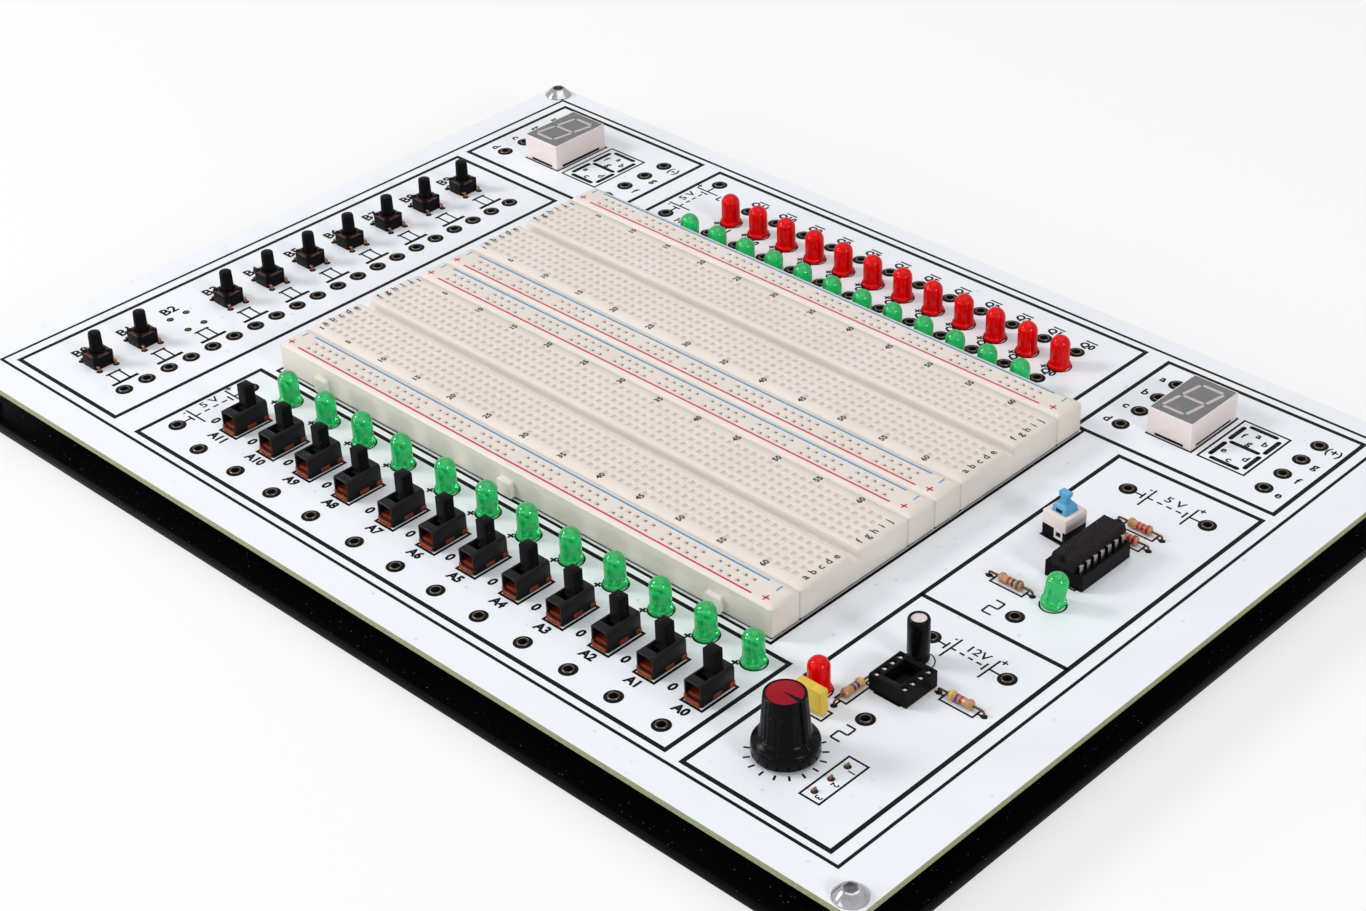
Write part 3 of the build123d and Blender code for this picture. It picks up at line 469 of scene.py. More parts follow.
class Effects:
    """Shader node groups that the finishes share."""

    @staticmethod
    def group(
        name: str, inputs: dict[str, str], outputs: dict[str, str]
    ) -> tuple[bpy.types.NodeTree, bool]:
        """Group by name, new or as built before.

        Args:
            name: the group's name.
            inputs: socket name to kind.
            outputs: socket name to kind.

        Returns:
            The group, and whether it still has to be filled.
        """
        known = bpy.data.node_groups.get(name)
        if known:
            return known, False
        made = bpy.data.node_groups.new(name, "ShaderNodeTree")
        for direction, sockets in (("INPUT", inputs), ("OUTPUT", outputs)):
            for label, kind in sockets.items():
                made.interface.new_socket(label, in_out=direction, socket_type="NodeSocket" + kind)
        return made, True

    @staticmethod
    def node(
        tree: bpy.types.NodeTree, kind: str, links: dict[str | int, object], **settings: object
    ) -> bpy.types.Node:
        """New node with its settings and inputs.

        Args:
            tree: where the node goes.
            kind: its type, without the common start of the name.
            links: input to a value or to another node's output.
            settings: properties of the node itself.

        Returns:
            The node.
        """
        made = tree.nodes.new("ShaderNode" + kind)
        for key, value in settings.items():
            setattr(made, key, value)
        for key, value in links.items():
            if isinstance(value, bpy.types.NodeSocket):
                tree.links.new(value, made.inputs[key])
            else:
                made.inputs[key].default_value = value
        return made

    @classmethod
    def mottle(cls) -> bpy.types.NodeTree:
        """Soft clouds between two colours and two gloss levels.

        Returns:
            The node group.
        """
        tree, fresh = cls.group(
            "Mottle",
            {"Colour": "Color", "Tint": "Color", "Scale": "Float", "Amount": "Float",
             "Roughness": "Float", "Spread": "Float"},
            {"Colour": "Color", "Roughness": "Float"},
        )
        if not fresh:
            return tree
        start = tree.nodes.new("NodeGroupInput").outputs
        place = cls.node(tree, "TexCoord", {}).outputs["Object"]
        noise = cls.node(tree, "TexNoise", {
            "Vector": place, "Scale": start["Scale"], "Detail": 3.0, "Roughness": 0.6,
        }).outputs["Fac"]
        mask = cls.node(tree, "MapRange", {
            "Value": noise, "From Min": 0.35, "From Max": 0.68,
        }).outputs["Result"]
        share = cls.node(tree, "Math", {0: mask, 1: start["Amount"]}, operation="MULTIPLY")
        blend = cls.node(tree, "Mix", {
            "Factor": share.outputs[0], 6: start["Colour"], 7: start["Tint"],
        }, data_type="RGBA")
        gloss = cls.node(tree, "Math", {
            0: mask, 1: start["Spread"], 2: start["Roughness"],
        }, operation="MULTIPLY_ADD")
        end = tree.nodes.new("NodeGroupOutput").inputs
        tree.links.new(blend.outputs[2], end["Colour"])
        tree.links.new(gloss.outputs[0], end["Roughness"])
        return tree

    @classmethod
    def grain(cls) -> bpy.types.NodeTree:
        """Fine uneven height, drawn out as much as asked.

        Returns:
            The node group.
        """
        tree, fresh = cls.group(
            "Grain", {"Scale": "Float", "Stretch": "Vector"}, {"Height": "Float"}
        )
        if not fresh:
            return tree
        start = tree.nodes.new("NodeGroupInput").outputs
        place = cls.node(tree, "TexCoord", {}).outputs["Object"]
        drawn = cls.node(tree, "VectorMath", {0: place, 1: start["Stretch"]}, operation="MULTIPLY")
        noise = cls.node(tree, "TexNoise", {
            "Vector": drawn.outputs[0], "Scale": start["Scale"], "Detail": 4.0, "Roughness": 0.65,
        })
        tree.links.new(noise.outputs["Fac"], tree.nodes.new("NodeGroupOutput").inputs["Height"])
        return tree

    @classmethod
    def dust(cls) -> bpy.types.NodeTree:
        """Small specks, thickest where a face looks up.

        Returns:
            The node group.
        """
        tree, fresh = cls.group(
            "Dust",
            {"Colour": "Color", "Speck": "Color", "Scale": "Float", "Amount": "Float",
             "Roughness": "Float"},
            {"Colour": "Color", "Roughness": "Float"},
        )
        if not fresh:
            return tree
        start = tree.nodes.new("NodeGroupInput").outputs
        spots = cls.node(tree, "TexCoord", {})
        cells = cls.node(tree, "TexVoronoi", {
            "Vector": spots.outputs["Object"], "Scale": start["Scale"],
        }).outputs["Distance"]
        dot = cls.node(tree, "MapRange", {
            "Value": cells, "From Min": 0.05, "From Max": 0.16, "To Min": 1.0, "To Max": 0.0,
        }).outputs["Result"]
        noise = cls.node(tree, "TexNoise", {
            "Vector": spots.outputs["Object"], "Scale": start["Scale"], "Detail": 1.0,
        }).outputs["Fac"]
        here = cls.node(tree, "MapRange", {
            "Value": noise, "From Min": 0.5, "From Max": 0.62,
        }).outputs["Result"]
        up = cls.node(tree, "SeparateXYZ", {0: spots.outputs["Normal"]}).outputs["Z"]
        facing = cls.node(tree, "MapRange", {
            "Value": up, "From Min": -0.2, "From Max": 0.9, "To Min": 0.25,
        }).outputs["Result"]
        some = cls.node(tree, "Math", {0: dot, 1: here}, operation="MULTIPLY").outputs[0]
        share = cls.node(tree, "Math", {0: some, 1: facing}, operation="MULTIPLY").outputs[0]
        amount = cls.node(
            tree, "Math", {0: share, 1: start["Amount"]}, operation="MULTIPLY"
        ).outputs[0]
        blend = cls.node(tree, "Mix", {
            "Factor": amount, 6: start["Colour"], 7: start["Speck"],
        }, data_type="RGBA")
        dull = cls.node(tree, "Math", {
            0: amount, 1: 0.4, 2: start["Roughness"],
        }, operation="MULTIPLY_ADD", use_clamp=True)
        end = tree.nodes.new("NodeGroupOutput").inputs
        tree.links.new(blend.outputs[2], end["Colour"])
        tree.links.new(dull.outputs[0], end["Roughness"])
        return tree


@dataclass(frozen=True)
class Finish:
    """A surface: its two mixed colours, gloss, fine texture and dust. Scales are per metre."""

    name: str
    colour: Colour
    tint: Colour
    roughness: float = 0.4
    spread: float = 0.1
    scale: float = 120.0
    amount: float = 0.6
    metallic: float = 0.0
    grain_scale: float = 2500.0
    grain_depth: float = 0.02
    stretch: Corner = (1.0, 1.0, 1.0)
    dust: float = 0.0
    dust_scale: float = 700.0
    speck: Colour = (0.7, 0.69, 0.66, 1.0)
    coat: float = 0.0
    transmission: float = 0.0
    specular: float = 0.5
    ior: float = 1.45

    def material(self) -> bpy.types.Material:
        """The finish as a material, built at its first use.

        Returns:
            The material.
        """
        label = "finish_" + self.name
        known = bpy.data.materials.get(label)
        if known:
            return known
        material = bpy.data.materials.new(label)
        material.use_nodes = True
        tree = material.node_tree
        surface = tree.nodes["Principled BSDF"].inputs
        mottle = Effects.node(tree, "Group", {}, node_tree=Effects.mottle())
        for key, value in {
            "Colour": self.colour, "Tint": self.tint, "Scale": self.scale, "Amount": self.amount,
            "Roughness": self.roughness, "Spread": self.spread,
        }.items():
            mottle.inputs[key].default_value = value
        colour, gloss = mottle.outputs["Colour"], mottle.outputs["Roughness"]
        if self.dust:
            dust = Effects.node(tree, "Group", {}, node_tree=Effects.dust())
            tree.links.new(colour, dust.inputs["Colour"])
            tree.links.new(gloss, dust.inputs["Roughness"])
            dust.inputs["Speck"].default_value = self.speck
            dust.inputs["Scale"].default_value = self.dust_scale
            dust.inputs["Amount"].default_value = self.dust
            colour, gloss = dust.outputs["Colour"], dust.outputs["Roughness"]
        grain = Effects.node(tree, "Group", {}, node_tree=Effects.grain())
        grain.inputs["Scale"].default_value = self.grain_scale
        grain.inputs["Stretch"].default_value = self.stretch
        bump = Effects.node(tree, "Bump", {
            "Strength": 1.0, "Distance": self.grain_depth * MM, "Height": grain.outputs["Height"],
        })
        tree.links.new(colour, surface["Base Color"])
        tree.links.new(gloss, surface["Roughness"])
        tree.links.new(bump.outputs["Normal"], surface["Normal"])
        surface["Metallic"].default_value = self.metallic
        surface["Coat Weight"].default_value = self.coat
        surface["Coat Roughness"].default_value = 0.08
        surface["Transmission Weight"].default_value = self.transmission
        surface["Specular IOR Level"].default_value = self.specular
        surface["IOR"].default_value = self.ior
        return material


LACQUER = Finish(
    "white_lacquer", tone(241, 245, 250), tone(236, 241, 248), roughness=0.14, spread=0.06,
    scale=22, grain_scale=900, grain_depth=0.004, dust=0.35, dust_scale=260,
    speck=tone(150, 155, 160), specular=0.28,
)
FIBRE = Finish(
    "fibre_edge", tone(158, 160, 124), tone(128, 130, 96), roughness=0.6, scale=900,
    grain_scale=3000, grain_depth=0.05, stretch=(1, 1, 6), specular=0.2,
)
PRINT = Finish(
    "black_print", tone(8, 7, 8), tone(16, 13, 15), roughness=0.5, scale=400, grain_depth=0.01,
    specular=0.12,
)
SHEET_BLACK = Finish(
    "black_sheet", tone(4, 4, 4), tone(8, 8, 8), roughness=0.18, spread=0.14, scale=30,
    grain_scale=700, grain_depth=0.003, dust=0.22, dust_scale=800, specular=0.03,
)
STEEL = Finish(
    "polished_steel", tone(184, 184, 187), tone(128, 127, 130), roughness=0.09, spread=0.08,
    scale=500, metallic=1.0, grain_scale=1400, grain_depth=0.004,
)
POST = Finish(
    "post_metal", tone(178, 175, 168), tone(160, 156, 148), roughness=0.32, scale=500,
    metallic=1.0, grain_scale=1500, grain_depth=0.01,
)
IVORY = Finish(
    "ivory_plastic", tone(230, 221, 213), tone(222, 213, 202), roughness=0.4, scale=45,
    grain_scale=1600, grain_depth=0.01, dust=0.2, dust_scale=500, speck=tone(150, 140, 125),
    specular=0.35,
)
# Walls and floor of each terminal hole: the contact's own colour with painted shade of the hole.
TERMINAL_CONTACT_AND_SHADE = Finish(
    "contact_shade", tone(224, 214, 212), tone(209, 199, 199), roughness=0.5, scale=1500,
    grain_depth=0.01, specular=0.2,
)
# Funnel and ledge of each rail hole: the contact's own colour with a little painted shade.
RAIL_CONTACT_AND_SHADE = Finish(
    "rail_contact_and_shade", tone(226, 216, 208), tone(214, 204, 198), roughness=0.5, scale=1500,
    grain_depth=0.01, specular=0.2,
)
# Near black for dark parts and joints, and for painted shade in bores, gaps and openings.
DARK_PARTS_AND_SHADE = Finish("dark_parts_and_painted_shade", tone(26, 20, 18), tone(14, 11, 10), roughness=0.6, specular=0.15)
# Small dot in each rail hole: painted shade of the hole.
RAIL_HOLE_SHADE = Finish(
    "rail_hole_shade", tone(168, 156, 149), tone(144, 132, 126), roughness=0.6, specular=0.15
)
# Near black on the pads, for the dark line under each strip.
FOAM = Finish(
    "foam_pad", tone(20, 18, 18), tone(12, 11, 11), roughness=0.85, scale=1500,
    grain_scale=2600, grain_depth=0.2, specular=0.1,
)
RED_LINE = Finish("red_line", tone(206, 48, 76), tone(190, 36, 64), roughness=0.45, scale=200)
BLUE_LINE = Finish("blue_line", tone(84, 152, 194), tone(66, 132, 176), roughness=0.45, scale=200)
NUMERAL = Finish(
    "numeral_ink", tone(52, 42, 40), tone(32, 26, 26), roughness=0.5, scale=900, specular=0.2
)
TINNED = Finish(
    "tinned_metal", tone(104, 96, 90), tone(40, 32, 28), roughness=0.2, spread=0.2,
    scale=900, metallic=1.0, grain_scale=1600, grain_depth=0.04,
)
GREEN = Finish(
    "green_resin", tone(38, 228, 128), tone(22, 212, 108), roughness=0.05, spread=0.04, scale=250,
    grain_scale=500, grain_depth=0.002, transmission=0.6, ior=1.5, specular=0.4,
)
RED = Finish(
    "red_resin", tone(236, 0, 3), tone(212, 0, 2), roughness=0.06, spread=0.04, scale=250,
    grain_scale=500, grain_depth=0.002, transmission=0.12, ior=1.5, specular=0.11,
)
LEAD_FRAME = Finish(
    "lead_frame", tone(214, 216, 200), tone(150, 146, 120), roughness=0.3, scale=900, metallic=0.3,
)
PHENOLIC = Finish(
    "phenolic", tone(158, 68, 32), tone(104, 34, 14), roughness=0.34, spread=0.2, scale=800,
    grain_scale=2200, grain_depth=0.05, stretch=(1, 1, 4), specular=0.25,
)
# Darker phenolic inside the slide switches: painted shade under the cover.
PHENOLIC_PAINTED_SHADE = Finish(
    "phenolic_shade", tone(124, 40, 15), tone(76, 20, 8), roughness=0.4, scale=800,
    grain_scale=2200, grain_depth=0.05, specular=0.15,
)
MATTE_BLACK = Finish(
    "moulded_black", tone(18, 17, 18), tone(11, 11, 12), roughness=0.4, spread=0.12, scale=300,
    grain_scale=2600, grain_depth=0.03, dust=0.25, dust_scale=900, specular=0.15,
)
# Black of the switch covers, a little lighter than the other blacks: painted sheen on the covers.
COVER_BLACK_WITH_SHEEN = Finish(
    "cover_black_painted_sheen", tone(24, 23, 24), tone(15, 15, 16), roughness=0.32, spread=0.12, scale=300,
    grain_scale=2600, grain_depth=0.02, dust=0.3, dust_scale=900, specular=0.14,
)
SATIN_BLACK = Finish(
    "satin_black", tone(14, 13, 15), tone(8, 8, 9), roughness=0.3, spread=0.1, scale=300,
    grain_scale=2600, grain_depth=0.015, dust=0.2, dust_scale=900, specular=0.06,
)
PLATE = Finish(
    "pressed_plate", tone(92, 56, 52), tone(40, 17, 16), roughness=0.34, spread=0.2, scale=650,
    metallic=0.3, grain_depth=0.03,
)
BOSS = Finish(
    "dark_boss", tone(36, 16, 15), tone(18, 9, 9), roughness=0.4, scale=900, specular=0.08,
)
COPPER = Finish(
    "copper_leg", tone(160, 110, 86), tone(70, 38, 26), roughness=0.32, scale=1200,
    metallic=0.8, grain_depth=0.03,
)
SHELL = Finish(
    "display_shell", tone(238, 226, 223), tone(231, 218, 215), roughness=0.38, scale=160,
    grain_depth=0.01, specular=0.35,
)
GREY_FACE = Finish(
    "grey_face", tone(118, 120, 122), tone(108, 110, 113), roughness=0.5, scale=300,
    grain_scale=2600, grain_depth=0.02, specular=0.25,
)
SEGMENT = Finish(
    "segment_resin", tone(200, 186, 186), tone(184, 166, 167), roughness=0.35, scale=900,
    grain_depth=0.01,
)
POINT = Finish(
    "point_resin", tone(132, 116, 117), tone(138, 108, 110), roughness=0.4, specular=0.3
)
WHITE_PLASTIC = Finish(
    "white_plastic", tone(236, 222, 219), tone(224, 210, 207), roughness=0.35, scale=300,
    grain_depth=0.01, specular=0.35,
)
BLUE_PLASTIC = Finish(
    "blue_plastic", tone(92, 170, 208), tone(76, 154, 196), roughness=0.36, scale=400,
    grain_depth=0.02, specular=0.35,
)
CHIP_BLACK = Finish(
    "chip_black", tone(34, 30, 33), tone(24, 22, 24), roughness=0.5, scale=500,
    grain_scale=3200, grain_depth=0.05, dust=0.3, dust_scale=1100, specular=0.07,
)
LEG = Finish(
    "chip_leg", tone(172, 162, 154), tone(86, 74, 68), roughness=0.26, scale=1200, metallic=0.9,
    grain_depth=0.02,
)
TAN = Finish(
    "resistor_tan", tone(196, 144, 104), tone(166, 114, 78), roughness=0.22, scale=900,
    grain_depth=0.02, coat=0.3,
)
WIRE = Finish(
    "lead_wire", tone(112, 80, 62), tone(48, 30, 24), roughness=0.34, scale=1500, metallic=0.7,
    grain_depth=0.02,
)
YELLOW = Finish(
    "yellow_moulding", tone(226, 194, 76), tone(210, 176, 58), roughness=0.4, scale=400,
    grain_scale=2200, grain_depth=0.03, dust=0.2, dust_scale=900, speck=tone(120, 90, 40),
    specular=0.3,
)
SLEEVE = Finish(
    "can_sleeve", tone(8, 8, 9), tone(18, 18, 20), roughness=0.16, spread=0.1, scale=500,
    grain_scale=1400, grain_depth=0.02, dust=0.5, dust_scale=1500, specular=0.08,
)
CAN_TOP = Finish(
    "can_top", tone(226, 214, 214), tone(200, 190, 190), roughness=0.3, scale=900, metallic=0.3,
)
POT_METAL = Finish(
    "pot_metal", tone(176, 174, 170), tone(120, 116, 110), roughness=0.32, scale=500, metallic=1.0,
)
KNOB = Finish(
    "knob_black", tone(11, 10, 11), tone(6, 6, 7), roughness=0.16, spread=0.1, scale=260,
    grain_scale=2600, grain_depth=0.015, dust=0.2, dust_scale=900, specular=0.08,
)
CRIMSON = Finish(
    "knob_crimson", tone(156, 18, 36), tone(134, 13, 30), roughness=0.36, scale=260,
    grain_scale=1800, grain_depth=0.03, dust=0.15, dust_scale=800, specular=0.1,
)


class Band(Enum):
    """Colour band of a resistor."""

    BLACK = tone(16, 14, 16)
    BROWN = tone(92, 48, 30)
    RED = tone(172, 18, 18)
    YELLOW = tone(226, 190, 40)
    VIOLET = tone(70, 48, 120)
    GOLD = tone(180, 140, 70)

    def finish(self) -> Finish:
        """Glossy paint of this colour."""
        darker = tuple(0.75 * share for share in self.value[:3]) + (1.0,)
        return Finish(
            "band_" + self.name.lower(), self.value, darker, roughness=0.2, scale=900,
            grain_depth=0.01, coat=0.4,
        )


class Along(Enum):
    """Direction in which a part lies or a text reads, as degrees from X."""

    X = 0
    Y = 90
    MINUS_X = 180
    MINUS_Y = -90


@dataclass
class Layout:
    """Places that several sub-assemblies share, in millimetres on the print."""

    switch_x: tuple[float, ...] = (
        -69.4, -55.3, -41.8, -27.6, -12.1, 2.0, 15.5, 29.5, 43.5, 57.5, 71.1, 85.0,
    )
    switch_y: float = -75.2
    switch_socket_y: float = -89.5
    switch_lamp_y: float = -61.7
    button_x: float = -120.1
    button_y: float = -81.9
    button_pitch: float = 13.55
    button_bare: int = 2
    button_leg: Point = (3.75, 2.5)
    button_socket_x: float = -104.85
    button_socket_y: float = -85.3
    lamp_x: float = -51.4
    lamp_pitch: float = 10.16
    red_shift: float = 0.7
    green_y: float = 60.0
    near_socket_y: float = 67.0
    red_y: float = 75.2
    far_socket_y: float = 83.0
    clock_lamp: Point = (101.45, -59.6)
    pulse_lamp: Point = (119.9, -4.1)
    displays: Points = ((-115.0, 74.8), (101.2, 74.4))
    display_socket_x: Points = ((-128.6, -87.8), (88.2, 128.9))
    display_socket_y: tuple[float, ...] = (86.9, 79.2, 71.4, 63.7)
    switch_supply: Points = ((-81.7, -86.5), (-81.9, -64.3))
    lamp_supply: Points = ((-68.0, 67.5), (-68.1, 89.0))
    pulse_supply: Points = ((105.7, 42.7), (127.8, 42.6))
    clock_supply: Points = ((107.5, -30.3), (128.5, -30.9))
    outputs: Points = ((116.4, -12.9), (114.95, -60.4))
    knob: Point = (109.85, -79.0)
    tags: Points = ((122.0, -83.95), (122.0, -78.975), (122.0, -74.0))
    push_switch: Point = (105.5, 18.6)
    push_turn: float = -5.0
    chips: Points = ((116.85, 12.3), (114.0, -47.4))
    can: Point = (110.5, -38.3)
    film: Point = (104.45, -65.2)
    breadboards: Points = ((0.4, -26.75), (0.4, 27.65))

    def lamp_columns(self) -> list[float]:
        """The twelve places along the lamp rows."""
        return [self.lamp_x + self.lamp_pitch * k for k in range(12)]

    def buttons(self) -> list[Point]:
        """The nine places that hold a button."""
        kept = [k for k in range(10) if k != self.button_bare]
        return [(self.button_x, self.button_y + self.button_pitch * k) for k in kept]

    def bare_holes(self) -> list[Point]:
        """The four holes of the place without a button."""
        y, (dx, dy) = self.button_y + self.button_pitch * self.button_bare, self.button_leg
        return [(self.button_x + i * dx, y + j * dy) for i in (-1, 1) for j in (-1, 1)]

    def sockets(self) -> dict[str, list[Point]]:
        """Every socket on the board.

        Returns:
            The name of each socket group with its places.
        """
        pitch = self.button_pitch / 2
        rows = (self.far_socket_y, self.near_socket_y)
        return {
            "button_sockets": [
                (self.button_socket_x, self.button_socket_y + pitch * k) for k in range(20)
            ],
            "switch_sockets": [
                *((x, self.switch_socket_y) for x in self.switch_x), *self.switch_supply,
            ],
            "lamp_sockets": [
                *((x, y) for x in self.lamp_columns() for y in rows), *self.lamp_supply,
            ],
            "display_sockets": [
                (x, y) for pair in self.display_socket_x for x in pair
                for y in self.display_socket_y
            ],
            "generator_sockets": [*self.pulse_supply, *self.clock_supply, *self.outputs],
        }


@dataclass
class Chassis:
    """The black plate, the standoffs and the screws, with the white board on top."""

    layout: Layout
    size: Point = (300.0, 209.0)
    radius: float = 3.0
    plate: float = 3.0
    plate_edge: float = 0.35
    inset: Point = (4.6, 4.1)
    shank: float = 4.0
    head: float = 7.6
    crown: float = 3.8
    head_height: float = 2.2
    sink: float = 8.0
    key: float = 2.8
    eyelet_hole: float = 2.6
    leg_hole: float = 1.1
    tag_hole: float = 1.7
    bush_hole: float = 7.2
    button_recess: float = 1.4
    sunk_recess: float = 1.2

    def corners(self) -> list[Point]:
        """The four places of the screws."""
        x, y = self.size[0] / 2 - self.inset[0], self.size[1] / 2 - self.inset[1]
        return [(i * x, j * y) for i in (-1, 1) for j in (-1, 1)]

    def build(self) -> None:
        """Make every piece of the chassis."""
        self.base()
        self.board()
        self.posts()
        self.screws()

    def base(self) -> None:
        """The black plate with its edges eased."""
        holes = [(x, y, self.shank + 0.1) for x, y in self.corners()]
        plate = Shape.sheet(self.size, self.radius, holes, 0, self.plate)
        rim = [
            edge for edge in plate.bm.edges
            if abs(edge.verts[0].co.z - edge.verts[1].co.z) < 0.01 and edge.is_manifold
            and edge.calc_face_angle(0) > 1 and self.outside(edge)
        ]
        plate.bevel(rim, self.plate_edge, 2)
        plate.piece(
            "base_plate_sheet", [SHEET_BLACK], slot="black_panel", replaces=("base_plate",)
        )

    def outside(self, edge: bmesh.types.BMEdge) -> bool:
        """Whether an edge is on the outline rather than round a hole.

        Args:
            edge: edge of the plate.

        Returns:
            True on the outline.
        """
        middle = (edge.verts[0].co + edge.verts[1].co) / 2
        near_x = self.size[0] / 2 - abs(middle.x) < self.radius
        near_y = self.size[1] / 2 - abs(middle.y) < self.radius
        return (near_x or near_y) and all(
            math.dist((middle.x, middle.y), corner) > self.sink / 2 - 0.6
            for corner in self.corners()
        )

    def board(self) -> None:
        """The white board with every hole that shows."""
        layout = self.layout
        holes = [(x, y, self.shank + 0.4) for x, y in self.corners()]
        sockets = layout.sockets().values()
        spots = [(*place, self.eyelet_hole) for group in sockets for place in group]
        spots += [(*place, self.leg_hole) for place in layout.bare_holes()]
        spots += [(*place, self.tag_hole) for place in layout.tags]
        spots.append((*layout.knob, self.bush_hole))
        holes += [(PRINT_X + x, PRINT_Y + y, diameter) for x, y, diameter in spots]
        board = Shape.sheet(self.size, self.radius, holes, BOARD_UNDERSIDE, BOARD_TOP)
        board.paint(1, lambda face: abs(face.normal.z) < 0.5)
        board.piece(
            "circuit_board_sheet", [LACQUER, FIBRE], slot="board_white",
            replaces=("circuit_board",),
        )

    def posts(self) -> None:
        """The hexagonal standoffs, with their ends chamfered."""
        Shape.dress("standoffs", "standoff_posts", POST, "standoff_metal", 0.3)

    def keyed(self, rings: list[Point], depth: float) -> Shape:
        """Screw from its outline, with a hexagonal recess in the head.

        Args:
            rings: (radius, height) outline from the tip to the face of the head.
            depth: depth of the recess.

        Returns:
            The screw, with its head up.
        """
        screw = Shape().spun(rings, 24)
        bm = screw.bm
        bmesh.ops.remove_doubles(bm, verts=bm.verts, dist=0.001)
        top = rings[-1][1]
        rim = [
            edge for edge in bm.edges
            if edge.is_boundary and abs(edge.verts[0].co.z - top) < 0.01
        ]
        for height in (top, top - depth):
            made = bmesh.ops.extrude_edge_only(bm, edges=rim)
            ring = [item for item in made["geom"] if isinstance(item, bmesh.types.BMVert)]
            rim = [item for item in made["geom"] if isinstance(item, bmesh.types.BMEdge)]
            for vert in ring:
                around = math.atan2(vert.co.y, vert.co.x)
                flat = (around + math.tau) % (math.tau / 6) - math.tau / 12
                reach = self.key / 2 / math.cos(flat)
                vert.co = (reach * math.cos(around), reach * math.sin(around), height)
        bmesh.ops.edgeloop_fill(bm, edges=rim)
        bmesh.ops.recalc_face_normals(bm, faces=bm.faces)
        return screw

    def screws(self) -> None:
        """Button heads above the board, countersunk heads under the plate."""
        half, rim = self.shank / 2, self.head / 2
        top = self.head_height
        button = self.keyed([
            (0, -5.8), (half - 0.3, -5.8), (half, -5.5), (half, 0), (rim, 0), (rim, 0.32),
            (rim - 0.14, 0.46), (self.crown / 2 + 0.12, top - 0.07), (self.crown / 2, top),
        ], self.button_recess)
        heads = Shape().add(button, *[
            move(x, y, BOARD_TOP) @ turn(17 + 31 * k) for k, (x, y) in enumerate(self.corners())
        ])
        heads.piece("corner_screws", [STEEL], slot="screw_steel", replaces=("top_screws",))
        sunk = self.keyed([
            (0, -7.2), (half - 0.3, -7.2), (half, -6.9), (half, -2.2), (self.sink / 2, -0.15),
            (self.sink / 2, 0), (self.crown / 2, 0),
        ], self.sunk_recess)
        feet = Shape().add(sunk, *[
            move(x, y, 0) @ turn(180, "X") @ turn(23 * k)
            for k, (x, y) in enumerate(self.corners())
        ])
        feet.piece("plate_screws", [STEEL], slot="screw_steel", replaces=("bottom_screws",))


